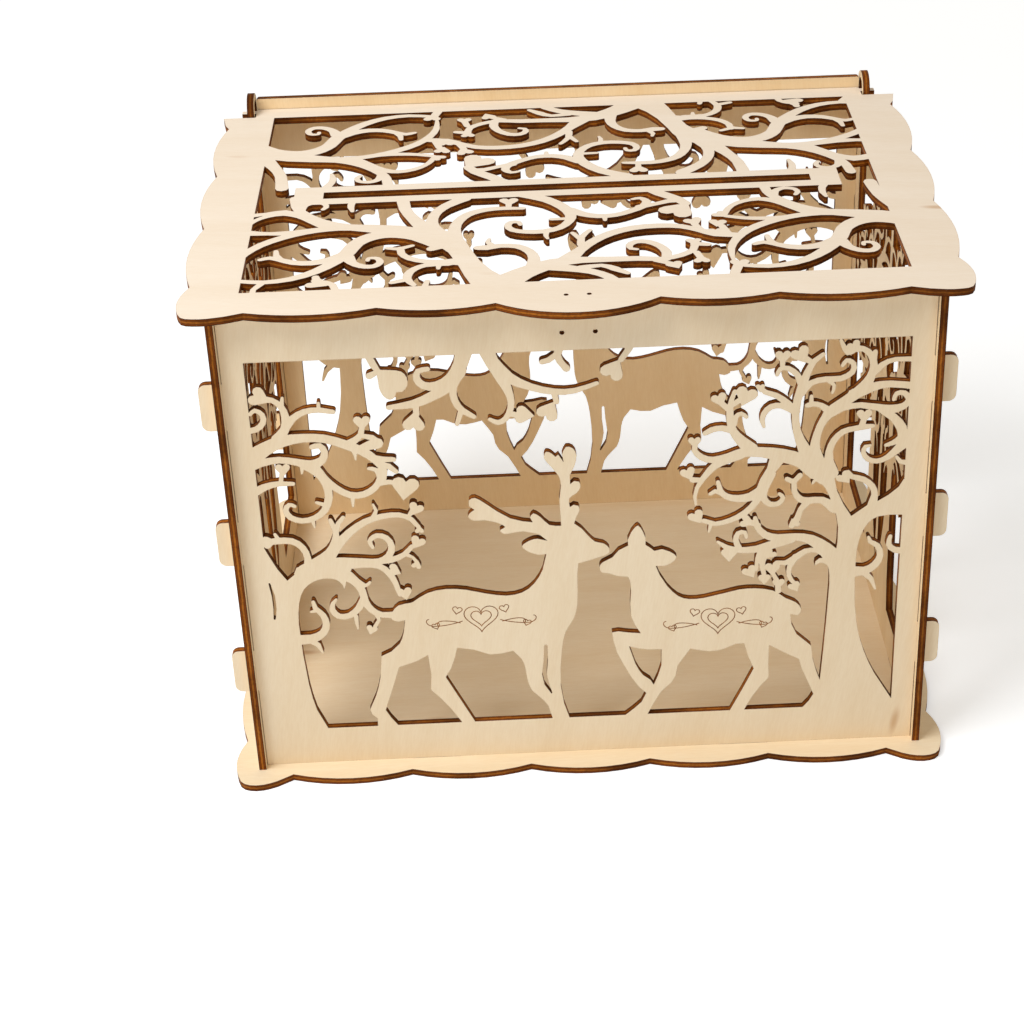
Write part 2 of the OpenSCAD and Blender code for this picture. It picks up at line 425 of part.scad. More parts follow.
BIG_TREE = [
    // hooks inside the low opening
    [[106, 83.8, 6], [112.6, 83.9, 4], [116.8, 86.6, 3.4], [118.7, 91, 2.8], [117.4, 95.6, 2.4],
     [114.4, 97.6, 2], [113.6, 99.8, 1.3]],
    [[112.5, 83, 3], [115.6, 79.8, 2.2], [117.4, 75, 1]],
    [[130, 92.4, 3.4], [124.4, 93.3, 2.8], [121.9, 96, 2.4], [122.4, 99.8, 1.7]],
    // bough over the doe
    [[100.5, 90, 8], [96.2, 95.4, 6], [90.4, 99.8, 4.6], [84, 101.4, 3.4], [77, 101.2, 3.6],
     [72, 103, 3.2], [68.8, 107, 2.6], [68, 111, 1.8]],
    [[69.5, 107.6, 2], [66.6, 108.8, 3]],
    [[83, 100, 3], [76, 98.4, 4], [69, 96.4, 3.4], [62, 96.2, 2.8], [56.6, 97.8, 2.4],
     [53.2, 100.6, 1.2]],
    [[61.8, 97, 2.6], [60.4, 101, 2.4], [61.4, 104.2, 2.2], [64, 104.4, 2], [64.6, 102, 1.4]],
    [[59, 97, 2], [58, 95.8, 2]],
    [[71, 96.6, 3], [69.2, 92, 1.8], [68.8, 86.6, 1.6]],
    [[73.6, 97.6, 4.4], [71.6, 92.6, 3.4], [71.2, 88, 2.2], [72.4, 82.6, 1.8]],
    [[98, 92.2, 4.6], [93, 94.6, 2.4], [88.4, 94.4, 2.6], [84.4, 91.4, 3], [80.4, 89.2, 2.4],
     [77, 89.6, 2]],
    [[84.6, 92, 3], [82.3, 87.4, 2.2], [82.2, 83, 2], [84.2, 79.6, 1.8], [86.2, 78.8, 1.4]],
    [[76.4, 89, 2], [75.6, 84.6, 1.8], [77.6, 80.4, 2.2], [78, 76, 2.6]],
    // stub and lobed twig on the trunk's left
    [[99.4, 114, 5], [94.4, 117.9, 3.2], [89, 117.9, 3.2], [85.6, 118.8, 3], [83.3, 122.4, 2.4],
     [83, 127.4, 2.2]],
    [[88.6, 117.4, 3.2], [86, 114, 2.4], [84.9, 110.4, 2.6], [83.8, 107.9, 3.4]],
    [[83, 126.6, 2.2], [80.3, 128.2, 2.2]],
    [[83, 126.8, 2.2], [85.4, 129.6, 2.4]],
    [[94.2, 126.4, 3], [91.6, 127.4, 1.8], [90.4, 125.6, 1]],
    // long bough to the left, with its scrolls
    [[92, 131, 8], [86, 136, 6.4], [78, 139, 6], [70, 140.8, 4.6], [63, 141, 4.4], [57, 139.2, 3.6],
     [51, 138.2, 3], [46.6, 139.6, 2.8], [43.8, 142.8, 2.4], [44, 146, 2.2]],
    [[62, 140, 4], [54, 137, 3.6], [50, 133.8, 3], [47, 129.8, 2.4], [44.8, 125.8, 1.8],
     [44, 122, 1.6], [44.4, 118.2, 1]],
    [[46, 129.4, 2.2], [43, 129.6, 2.6]],
    [[76, 137, 6], [74, 132.6, 4], [71.3, 128, 3.6], [70, 123.5, 4], [68.3, 118.5, 3],
     [64, 113.6, 2.8], [58, 110.3, 2.4], [52, 109, 2.2], [47.6, 110.6, 2.2]],
    [[50.4, 108.8, 1.8], [49.6, 105.4, 1]],
    [[70.5, 124, 4], [66, 120.8, 4], [61, 120.2, 3.4], [56.5, 121.4, 2.8], [54, 124.2, 2.4],
     [53.1, 128.2, 1.7]],
    [[54.6, 122.8, 2.2], [52, 124, 2.2], [50, 122.8, 1.6]],
    [[74, 131, 4], [71.4, 124.6, 3.6], [71.2, 119.8, 3], [73.8, 117, 2.6], [77.2, 117.2, 2.4],
     [78.9, 119.8, 2], [77.4, 121.6, 1.6]],
    [[66, 142, 6], [61.8, 146.4, 4.4], [58.6, 151, 3.2], [57.5, 156, 3], [57.4, 160.4, 2.8],
     [58, 164.4, 2], [59.2, 168, 1.8]],
    [[58.9, 151, 3.2], [54.4, 152.2, 2.6], [50.4, 151.6, 2.6], [47.9, 150.2, 2.2]],
    [[59, 153.6, 2.6], [59.7, 156.8, 2.2], [61.8, 158.2, 2], [63.9, 156.6, 1.6]],
    [[57.2, 160, 2.6], [54.4, 162.8, 2.4]],
    [[58.4, 162.2, 2.4], [61, 164, 2.4]],
    // left stem and its twigs
    [[91, 133, 9], [86.6, 141.4, 5], [83.6, 149.6, 3.2], [82.8, 157, 3], [83.4, 163.4, 3.2],
     [85, 169, 3.6], [86.8, 174.5, 3], [89.4, 179.6, 2.4], [92.8, 182.4, 1.8]],
    [[82.8, 158, 3.6], [79.4, 162, 3], [75.2, 165.5, 2.4], [70.8, 167.2, 2.2], [69, 169.4, 1.8]],
    [[82.6, 158.4, 3.4], [77.4, 161, 2.6], [73.2, 160.6, 2.6], [70.6, 157.8, 2.4], [70, 154.5, 2],
     [70.7, 152, 1.3]],
    [[84.6, 170.4, 3], [83, 174.2, 2.4], [79.5, 177, 2.2], [76.5, 176.8, 2], [75.3, 174.4, 1.6]],
    [[77.3, 177.2, 1.8], [77.3, 181, 2.4]],
    [[88.6, 179, 2.2], [86.2, 180.8, 2.6]],
    [[85, 166, 3], [88.5, 170.3, 2.6], [94, 171.6, 2.6], [100, 171.7, 2.6], [104.2, 174.3, 2.4],
     [104.5, 177.8, 2.2], [101.9, 179.4, 2], [100.3, 177.2, 1.6]],
    [[95.4, 170.8, 2], [97.4, 168.8, 1.6], [96.8, 165.6, 1.2]],
    [[96, 157.6, 3.6], [92.6, 160.4, 2.4], [89.5, 161.1, 2.4], [87.3, 160.6, 2.2]],
    [[88.8, 161, 2], [88.8, 164.6, 1.5]],
    // middle stem, fork and boughs to the top right
    [[92.6, 133, 7], [90.8, 141, 4.4], [91.6, 148, 3.2], [93.8, 153.8, 3.4], [97.6, 158.6, 4.6],
     [103, 162.6, 4.4], [108.4, 167, 5], [111.4, 172, 3.6], [112.3, 177, 3], [111, 181.4, 2.8],
     [108, 184, 2.4], [104.6, 184.4, 3]],
    [[104.2, 184, 3.2], [102.2, 182.8, 2.8], [100.4, 185.4, 2], [99.3, 188, 1.4]],
    [[112, 178, 2.6], [112.6, 182.6, 2]],
    [[105, 164.6, 5], [112, 167.4, 4], [119, 168.5, 3], [130, 167, 3.2]],
    [[111.8, 173, 3], [115.6, 176.9, 2.6], [120.6, 179, 2], [130, 178.6, 2.4]],
    [[95, 156, 4], [101, 158.8, 2.8], [108, 159.8, 2.6], [114.4, 158.6, 3], [119.6, 157.4, 4],
     [124.6, 158.6, 3], [126.6, 161.4, 2.6], [124.6, 164.3, 2.4], [121.6, 164.2, 2],
     [120.7, 161.6, 1.5]],
    [[116, 157.6, 3], [120.8, 154, 3.4], [124.4, 149, 4.2], [124.4, 144.6, 3.4], [121, 142.4, 2.2],
     [118.6, 141.6, 1.6]],
    [[130, 146, 6], [124.4, 140.8, 4], [119.6, 136.2, 2.6], [115.4, 134.6, 2.3], [111.8, 135.7, 2.3],
     [109.9, 138.6, 2], [110.6, 141.4, 1.8], [112.6, 141.8, 1.2]],
    [[97.6, 130, 6], [96.4, 135.6, 4], [96.5, 140, 3], [98.2, 144.8, 2.8], [101.6, 148.4, 2.6],
     [106, 149.6, 2.4], [109.6, 150.2, 2.6], [113.2, 150.4, 1.8]],
    [[108.6, 150, 2.6], [109.6, 154, 2.4]],
    [[114.4, 114.6, 4], [115.2, 119.4, 2.8], [114, 123.4, 2.6], [110.4, 126.6, 2.6],
     [105.6, 128.2, 2.4], [104.2, 130.4, 1.6]],
    [[130, 133, 3], [124.6, 134, 2], [123, 136.2, 1.4]]];

BIG_TREE_BUDS = [
    [64.8, 109.4, 5.6, 70], [57.8, 94.2, 6.4, 0], [66.4, 85.6, 6, 30], [74.4, 93.6, 4.6, -40],
    [72.2, 81.8, 5, 0], [75.4, 86.6, 6.2, 0], [78, 79.4, 5, 0], [84.6, 77.6, 5, 30],
    [83.4, 107.8, 4.6, 200], [43.8, 146.4, 5, 0], [41.4, 132.4, 6, 20], [44.8, 112.4, 6.4, 30],
    [53.4, 164.6, 6, 20], [63.4, 165.6, 8.4, -20], [77.4, 181.8, 6, 0], [84.4, 182.4, 7.4, 30],
    [104.6, 185, 5.4, 30], [109.6, 155, 6, 0], [103, 127.6, 6, 40], [69, 169, 3.6, 0]];

// Everything that fills a window of the front or the back panel
module deer_art() {
    difference() {
        union() {
            polygon(STAG);
            polygon(DOE);
            polygon(SMALL_TRUNK);
            polygon(HANGING_LEAF);
            vines(SMALL_TREE);
            vines(HANGING);
            buds(SMALL_TREE_BUDS);
            buds(HANGING_BUDS);
        }
        vine(STAG_LEG_SLIT);
        vine(SMALL_TRUNK_SLIT);
        polygon(DOE_LEG_GAP);
    }
    big_tree();
}

module big_tree() {
    polygon(BIG_TRUNK);
    vines(BIG_TREE);
    buds(BIG_TREE_BUDS);
}

// Two big trees back to back at a middle post fill a side panel's window
module twin_tree_art() {
    translate([0, DEER_ART_FOOT + TREE_ART.y / 2]) square_about([post_w, TREE_ART.y + 2]);
    for (side = [0, 1])
        mirror([side, 0]) translate([-TREE_X, 0]) big_tree();
}

// ---- Lid design: one half, drawn round the front tree ----

LID_MOTIF = [
    [[79.5, 96, 4.4], [80.6, 87.5, 4.2], [83.2, 81.6, 4.4], [88, 75, 5], [94, 69.6, 5.4],
     [102, 65.6, 5.4], [112, 63.5, 6.6], [122, 61, 8], [131, 57, 9]],
    [[93, 67, 4.6], [88, 72.6, 4.4], [83, 78, 4.4], [76, 80.8, 3.4], [69.5, 79, 3], [65, 75.2, 2.6],
     [62.4, 70.6, 2.8], [61, 66, 2.4]],
    [[83, 83.6, 3.4], [83.8, 88.2, 3.4], [87.6, 90.8, 2.8], [91.9, 89.4, 2.6], [92.8, 86, 2.4],
     [91.6, 83.8, 2]],
    [[105.5, 96, 4], [103.2, 90, 3.2], [102.8, 85, 2.8], [103.6, 80.6, 1.6]],
    [[123.4, 94, 5.6], [124.8, 81, 5], [128.3, 71, 5.4], [133.8, 60, 8], [140.8, 49, 12]],
    [[96, 64.2, 4], [84, 61.9, 3], [76, 61.4, 3.4], [68, 62.6, 3], [61.5, 65, 2.6]],
    [[116, 59.6, 4], [104, 63.4, 3.2], [95, 63.9, 4], [86, 61.8, 4.2], [77, 57.4, 4.4],
     [69, 51, 4.2], [63.5, 43, 3.8], [60.6, 34, 3], [60.4, 24, 1.6]],
    [[140, 47, 12], [130, 54, 8], [120, 57, 7], [112, 55, 7], [106.4, 49, 6.4], [103.6, 41, 6.4],
     [99, 33, 5.6], [92, 24.8, 4.8], [83, 18.9, 4], [73, 16.9, 3.4], [64, 18.6, 3]],
    [[103.4, 39.6, 6], [97, 35, 5], [90, 32.7, 4.4], [83, 33.7, 4], [77.4, 37, 3.4],
     [73.6, 38.8, 3.2], [70, 37.4, 2.4]],
    [[77.6, 37, 3.4], [76, 41, 2.6], [75.6, 45, 2]],
    [[103.4, 37, 6], [105.6, 31.6, 4], [109.4, 28, 3.6], [114, 27.5, 3.4], [116.4, 30.8, 3],
     [115.2, 34.6, 2.6], [112, 35, 2.2], [111.6, 32.8, 1.8]]];

LID_TREE = [
    // trunk, from the front rail to the slot bar
    [[-30, 6, 17], [-33, 13, 14], [-37, 21, 11], [-40.2, 30, 9], [-44, 42, 9], [-48.5, 52, 12],
     [-55, 60, 9]],
    [[-44.6, 46, 6], [-46, 58, 5.6], [-45.4, 67, 4.6], [-41, 76, 4.2], [-33.6, 80.4, 3.8],
     [-26, 81.2, 3.4], [-18.6, 80.4, 2.4]],
    [[-24.4, 82, 2.4], [-24.3, 85, 2.6]],
    [[-50, 54, 8], [-54.6, 66, 5.4], [-54.2, 77, 4.6], [-49.5, 86, 5], [-42, 93, 6]],
    [[-19, 95, 6], [-9, 88.4, 5.4], [-2.6, 80.2, 5.2], [0.2, 72.4, 4.8], [-0.7, 65.8, 4],
     [-4.6, 60, 3.8], [-11, 57, 3.8], [-18, 57.3, 3.6], [-23.2, 59.6, 3.4], [-25, 63.6, 3],
     [-23.6, 67, 2.8], [-20.7, 66.8, 2.4], [-20, 64.2, 1.8]],
    [[-1.6, 68.6, 2.6], [-7.6, 68.4, 2.2]],
    [[-10, 56.4, 2.6], [-10.2, 52.6, 2], [-9.6, 50, 1.4]],
    [[0, 77, 5], [5, 72.4, 4.4], [11, 69.8, 4], [18, 70.2, 3.6], [24, 73.4, 3.6], [29.6, 78, 4],
     [31.2, 82.8, 3.6], [28.8, 86.2, 2.6], [25.8, 85.4, 2]],
    [[13.6, 69, 2.4], [13.6, 65.4, 1.6]],
    [[28, 77.4, 4], [34, 79.4, 3], [39.6, 82, 3.6], [44, 83, 5]],
    [[31.6, 97, 5], [37, 90.4, 5.4], [43.6, 84, 5], [46.6, 79, 4.4]],
    [[-42, 32, 8], [-50, 32.2, 4], [-57, 33.2, 3.4], [-63, 36.4, 3.4], [-66.4, 41.4, 3.2],
     [-67, 46.4, 3]],
    [[-67, 45.6, 3], [-72, 46.8, 2.2]],
    [[-67, 46, 2.8], [-62.4, 48.4, 2.2]],
    [[-49, 47.6, 4], [-55, 44.6, 4]],
    [[-48, 31, 5], [-57, 29.8, 3.4], [-62.4, 25, 3.6], [-63.6, 18, 3.4], [-61, 12.6, 2.4]],
    [[-63.4, 17.6, 3], [-69.4, 15.4, 2.6]],
    [[-57.6, 7, 3], [-56, 15.6, 2.2]],
    [[-51.8, 30, 2.6], [-52, 26.2, 1.6]],
    [[-121.3, 7, 2.6], [-121.2, 14, 2.4], [-118.6, 19, 3]],
    [[-98.4, 23, 3], [-97.6, 18, 3.4]],
    [[-95.4, 18, 4], [-91.6, 15.4, 3], [-89.6, 7, 3]],
    [[-130, 83, 4], [-122, 84.6, 2.8], [-114.6, 86, 4], [-108.4, 81.6, 4.4]],
    [[-130, 66, 4], [-120, 65, 3], [-110, 65.4, 3.6], [-100, 67, 4.4]],
    // right of the trunk
    [[-30, 8, 14], [-20, 19, 10], [-8, 27, 8], [3, 29, 5.6], [14, 28.6, 4.6], [24, 28.4, 4.4],
     [33, 27.2, 3.6], [41, 29.8, 3.4], [46, 34.6, 3.2], [47, 40.4, 3.4]],
    [[-3, 29, 8], [2.4, 38, 5], [8, 46, 4.6], [15, 52.6, 4.6], [24, 57, 4.4], [34, 58.2, 4.2],
     [43, 56.8, 4], [50, 52.4, 3.8], [56, 48.4, 5], [65, 46.4, 4]],
    [[3.2, 43, 3.4], [3.6, 50, 2.8], [7.2, 56.6, 2]],
    [[3.4, 48, 2.8], [0.2, 54.6, 2]],
    [[-16, 24, 6], [-15.4, 32.6, 4.6], [-17.2, 39, 4], [-21.6, 43.8, 3.8], [-28, 45, 3.6],
     [-33.4, 43.8, 4.6], [-36.8, 43.8, 3.8]],
    [[-31.4, 45.6, 3], [-33, 49, 2.2], [-32.4, 51.8, 1.4]],
    [[35, 27, 4], [35.6, 33, 4], [33.4, 39, 3.6], [29, 43.4, 3.6], [24.4, 43.8, 3.4],
     [21.8, 41, 3], [22.2, 37.6, 2.4], [24.4, 36.8, 2]],
    [[-12, 25, 7], [-2, 21.8, 5.6], [6, 18.4, 4.6], [12, 13.4, 4.6], [15, 7, 6]],
    [[2, 22, 4], [10, 23.4, 3], [15, 20, 4], [19.6, 15.6, 2.4]],
    [[31, 26, 3], [37, 22.4, 3]],
    [[47, 32, 3], [48.2, 27, 3]],
    [[62, 19.6, 4], [60, 13, 4], [59, 7, 4]],
    [[47, 40, 3.6], [52, 38.6, 2.8]],
    [[50.6, 52.6, 3], [48.4, 58.6, 3]],
    [[61, 47, 3.6], [59, 56, 3]]];

LID_BUDS = [
    [-24.2, 87.6, 7.6, 0], [43.4, 73.4, 14, 145], [-97.4, 17, 8.4, 60], [38, 21.2, 6.6, 20],
    [48.4, 25.4, 6.4, 180], [62.6, 20.4, 7.4, 0], [46.8, 42, 6, 0], [48.4, 61, 7.4, 20],
    [57.6, 58.6, 7, -10], [56.2, 50.2, 7, 0], [59.4, 66.6, 6, 40]];

// The motif stands twice in each half of the lid
MOTIF_SHIFT = [-190.8, 3.2];

module lid_half() {
    vines(LID_MOTIF);
    translate(MOTIF_SHIFT) vines(LID_MOTIF);
    vines(LID_TREE);
    buds(LID_BUDS);
}

module lid_art() {
    lid_half();
    translate(2 * LID_TURN_MID) rotate(180) lid_half();
}

// ---- Sheet outlines ----

// A design drawn at the size art, stretched about the middle of its foot to a window
module fitted(window, art) {
    scale([window.x / art.x, window.y / art.y]) children();
}

// A window's design, cut off just inside the frame round it
module pierced(window) {
    intersection() {
        square_about(window + [1, 1]);
        union() children();
    }
}

// One sheet's outline in straight steps, with hairline gaps between its strokes closed
module sheet() {
    offset(delta = -HAIRLINE) offset(delta = HAIRLINE) children();
}

module square_about(size) {
    square(size, center = true);
}

// Rounded tab that points along +X from x = 0
module side_tab() {
    tab_l = half_gap + ply + tab_reach;
    translate([-tab_r, -tab_w / 2]) rounded([tab_l + tab_r, tab_w], tab_r);
}

half_gap = 0.25;
panel_w = inner_w - 2 * half_gap;
tab_heights = [for (i = [0:2]) tab_first + i * tab_pitch];
window_w = panel_w - 2 * side_rail;
window_h = panel_h - bottom_rail - top_rail;
window_mid = bottom_rail + window_h / 2;
foot_len = ply - 0.2;

// Outline of the front and the back panel, rise mm taller than the box
module panel_outline(rise) {
    translate([-panel_w / 2, 0]) square([panel_w, panel_h]);
    if (rise > 0)
        raised_strip(rise);
    for (side = [0, 1], z = tab_heights)
        mirror([side, 0]) translate([panel_w / 2, z]) side_tab();
    for (side = [-1, 1])
        translate([side * foot_tab_x - tab_w / 2, -foot_len]) square([tab_w, foot_len + 1]);
}

// Strip along the top of the back panel, behind the lid
module raised_strip(rise) {
    strip_w = inner_w - 2 * strip_inset;
    translate([-strip_w / 2, panel_h - strip_r]) rounded([strip_w, rise + strip_r], strip_r);
}

module rounded(size, r) {
    offset(r = r, $fn = 24) offset(delta = -r) square(size);
}

module deer_panel(rise) {
    sheet() {
        difference() {
            panel_outline(rise);
            translate([0, window_mid]) square_about([window_w, window_h]);
        }
        translate([0, window_mid]) pierced([window_w, window_h])
            fitted([window_w, window_h], DEER_ART)
                translate([0, -DEER_ART_FOOT - DEER_ART.y / 2]) deer_art();
    }
}

deep_w = inner_d - 2 * deep_rail;

// Side panel in (y, z), with the front panel's face at y = 0
module side_outline() {
    difference() {
        union() {
            translate([-side_proud, 0]) square([box_d + 2 * side_proud, panel_h]);
            ear();
            for (side = [-1, 1])
                translate([mid_y + side * foot_tab_y - tab_w / 2, -foot_len])
                    square([tab_w, foot_len + 1]);
        }
        translate([mid_y, window_mid]) square_about([deep_w, window_h]);
        for (y = [0, back_y], z = tab_heights)
            translate([y - slot_gap, z - tab_w / 2 - slot_gap])
                square([ply + 2 * slot_gap, tab_w + 2 * slot_gap]);
    }
}

// Ear at the side panel's rear top corner, round about the hinge axis
module ear() {
    translate([axis_y, axis_z]) circle(r = ear_r, $fn = 64);
    translate([axis_y - ear_r, panel_h - ear_r]) square([2 * ear_r, ply + ear_r]);
}

module side_sheet() {
    difference() {
        sheet() {
            side_outline();
            translate([mid_y, window_mid]) pierced([deep_w, window_h])
                fitted([deep_w, window_h], [2 * TREE_ART.x, TREE_ART.y])
                    translate([0, -DEER_ART_FOOT - TREE_ART.y / 2]) twin_tree_art();
        }
        translate([axis_y, axis_z]) circle(r = hole_r, $fn = 48);
    }
}

// Round lobe at a scalloped plate's corner, from its last front cusp to its first side cusp
function corner_lobe(front, side, out) =
    let (dx = side.x - front.x, dy = side.y - front.y)
    curve([front, front + [0.3 * dx, -0.62 * out], front + [0.58 * dx, -0.95 * out],
           front + [0.84 * dx, -0.93 * out], front + [1.03 * dx, -0.5 * out],
           side + [2.9, -0.82 * dy], side + [3.4, -0.52 * dy], side + [2, -0.22 * dy], side]);

base_side_x = base_cusp_w / 2;
base_front_cusp_x = base_side_x - 21;
base_side_cusp_y = 17;

module base_outline() {
    cusp = [base_front_cusp_x, -base_cusp_y];
    front = scallops([-cusp.x, cusp.y], cusp, 5, base_lobe);
    corner = corner_lobe(cusp, [base_side_x, base_side_cusp_y], corner_out);
    side = scallops([base_side_x, base_side_cusp_y], [base_side_x, box_d - base_side_cusp_y], 3, base_lobe);
    right = concat(corner, side, [for (i = [len(corner) - 1:-1:0]) [corner[i].x, box_d - corner[i].y]]);
    polygon(concat(front, right, turned(front), turned(right)));
}

// The points p after half a turn about the middle of the box
function turned(p) = [for (q = p) [-q.x, box_d - q.y]];

module base_sheet() {
    difference() {
        base_outline();
        for (side = [-1, 1], y = [0, back_y])
            translate([side * foot_tab_x - tab_w / 2 - slot_gap, y - slot_gap])
                square([tab_w + 2 * slot_gap, ply + 2 * slot_gap]);
        for (side = [-1, 1], end = [-1, 1])
            translate([side * (half_w + ply / 2), mid_y + end * foot_tab_y])
                square_about([ply, tab_w] + 2 * [slot_gap, slot_gap]);
    }
}

lid_side_x = lid_cusp_w / 2;
lid_front_cusps = [30.5, 74.5, lid_side_x - 22];
lid_side_cusps = [17.8, 71.7, 125.4, 179];

module lid_outline() {
    tongue = arc([-lid_front_cusps[0], -lid_cusp_y], [lid_front_cusps[0], -lid_cusp_y], lid_tongue, 14);
    right = concat(
        [for (i = [0, 1], q = arc([lid_front_cusps[i], -lid_cusp_y],
                                  [lid_front_cusps[i + 1], -lid_cusp_y], lid_lobe)) q],
        corner_lobe([lid_front_cusps[2], -lid_cusp_y], [lid_side_x, lid_side_cusps[0]], lid_lobe),
        [for (i = [0:2], q = arc([lid_side_x, lid_side_cusps[i]],
                                 [lid_side_x, lid_side_cusps[i + 1]], lid_lobe)) q],
        curve([[lid_side_x + 1.8, lid_side_cusps[3] + 4], [lid_side_x + 3.4, wing_y]]));
    polygon(concat(tongue, right, mirror_x(right)));
}

module lid_sheet() {
    difference() {
        sheet() {
            lid_frame();
            translate([0, lid_window_y + lid_window_d / 2]) lid_design();
        }
        for (side = [-1, 1])
            translate([side * lid_pilot_pitch / 2, -lid_pilot_y]) circle(d = pilot_d, $fn = 24);
    }
}

module lid_frame() {
    difference() {
        union() {
            lid_outline();
            translate([-tongue_w / 2, wing_y - tongue_r])
                rounded([tongue_w, lid_back_y - wing_y + tongue_r], tongue_r);
            for (side = [0, 1])
                mirror([side, 0]) translate([tongue_w / 2 - 1, axis_y - peg_lead - peg_w])
                    square([half_w + ply + peg_reach - tongue_w / 2 + 1, peg_w]);
        }
        translate([0, lid_window_y + lid_window_d / 2]) square_about([lid_window_w, lid_window_d]);
    }
}

module lid_design() {
    difference() {
        pierced([lid_window_w, lid_window_d]) {
            fitted([lid_window_w, lid_window_d], LID_ART) translate(-LID_ART_MID) lid_art();
            square_about([card_slot_w + 24, slot_bar_d]);
        }
        square_about([card_slot_w, card_slot_d]);
    }
}

// ---- Sheets in place ----

module in_place() {
    translate([0, -origin_y, ply]) children();
}

module base_plate() {
    color(cream) in_place() translate([0, 0, -ply]) linear_extrude(ply) base_sheet();
}

module front_panel() {
    color(cream) in_place() translate([0, ply, 0]) rotate([90, 0, 0]) linear_extrude(ply)
        difference() {
            deer_panel(0);
            for (side = [-1, 1])
                translate([side * panel_pilot_pitch / 2, panel_h - panel_pilot_drop])
                    circle(d = pilot_d, $fn = 24);
        }
}

module back_panel() {
    color(tan_wood) in_place() translate([0, back_y, 0]) rotate([90, 0, 180]) linear_extrude(ply)
        deer_panel(back_rise);
}

module left_side_panel() {
    color(tan_wood) in_place() translate([-half_w - ply, 0, 0]) rotate([90, 0, 90])
        linear_extrude(ply) side_sheet();
}

module right_side_panel() {
    color(tan_wood) in_place() translate([half_w, 0, 0]) rotate([90, 0, 90])
        linear_extrude(ply) side_sheet();
}

module lid() {
    color(cream) in_place() translate([0, 0, panel_h + lid_seat]) linear_extrude(ply) lid_sheet();
}

base_plate();
front_panel();
back_panel();
left_side_panel();
right_side_panel();
lid();
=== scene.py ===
"""Looks of the wedding card box: laser-cut birch plywood sheets with scorched edges, on a pale table."""

import logging
import math
from dataclasses import dataclass
from enum import Enum

import bpy
from mathutils import Matrix, Vector


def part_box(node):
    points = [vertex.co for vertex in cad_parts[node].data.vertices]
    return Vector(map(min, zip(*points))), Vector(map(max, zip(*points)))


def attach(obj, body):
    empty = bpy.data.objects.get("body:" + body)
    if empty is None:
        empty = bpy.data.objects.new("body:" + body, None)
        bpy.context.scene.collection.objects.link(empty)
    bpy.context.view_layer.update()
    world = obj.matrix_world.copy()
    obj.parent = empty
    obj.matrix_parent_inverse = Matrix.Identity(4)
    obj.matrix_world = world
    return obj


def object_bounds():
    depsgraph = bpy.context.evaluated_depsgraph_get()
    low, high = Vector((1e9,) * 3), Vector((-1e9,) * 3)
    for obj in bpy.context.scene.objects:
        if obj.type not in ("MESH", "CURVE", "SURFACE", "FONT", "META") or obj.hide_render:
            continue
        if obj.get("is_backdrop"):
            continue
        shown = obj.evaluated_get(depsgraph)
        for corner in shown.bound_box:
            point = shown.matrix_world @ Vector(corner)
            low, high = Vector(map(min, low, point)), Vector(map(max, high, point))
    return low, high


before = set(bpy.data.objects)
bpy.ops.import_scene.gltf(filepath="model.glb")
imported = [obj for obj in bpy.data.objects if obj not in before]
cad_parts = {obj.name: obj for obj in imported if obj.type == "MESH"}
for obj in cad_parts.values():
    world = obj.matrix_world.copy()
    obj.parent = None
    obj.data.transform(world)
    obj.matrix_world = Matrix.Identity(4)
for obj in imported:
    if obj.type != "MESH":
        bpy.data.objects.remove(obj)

LOG = logging.getLogger("card_box")
MM = 0.001

Colour = tuple[float, float, float, float]
Cells = tuple[float, float, float]
Range = tuple[float, float]
Point = tuple[float, float]
Path = list[Point]
Feed = bpy.types.NodeSocket | float | Colour | Cells

WHITE: Colour = (1.0, 1.0, 1.0, 1.0)
COLOUR, NUMBER, PLACE = "NodeSocketColor", "NodeSocketFloat", "NodeSocketVector"


def srgb(red: int, green: int, blue: int) -> Colour:
    """A colour as a paint chart gives it, turned into the linear values that a shader takes.

    Args:
        red: Red from 0 to 255.
        green: Green from 0 to 255.
        blue: Blue from 0 to 255.

    Returns:
        The linear colour with full opacity.
    """
    def linear(value: int) -> float:
        """One channel, from its 0 to 255 value to linear light."""
        share = value / 255
        return share / 12.92 if share <= 0.04045 else ((share + 0.055) / 1.055) ** 2.4

    return linear(red), linear(green), linear(blue), 1.0


class Axis(Enum):
    """An axis of the box's frame, with its place in a list of three."""

    X = 0
    Y = 1
    Z = 2


@dataclass(frozen=True)
class Pattern:
    """Noise that is stretched by its own scale along each axis.

    Attributes:
        cells: Cells per metre along each axis.
        shown: The noise's own values where the pattern starts to show and where it is full.
        share: How much it brings of the colour that it is mixed with.
        detail: How many finer layers it has.
        rough: How strong the finer layers are.
        bend: How far it is distorted.
    """

    cells: Cells
    shown: Range = (0.0, 1.0)
    share: float = 1.0
    detail: float = 3.0
    rough: float = 0.55
    bend: float = 0.0


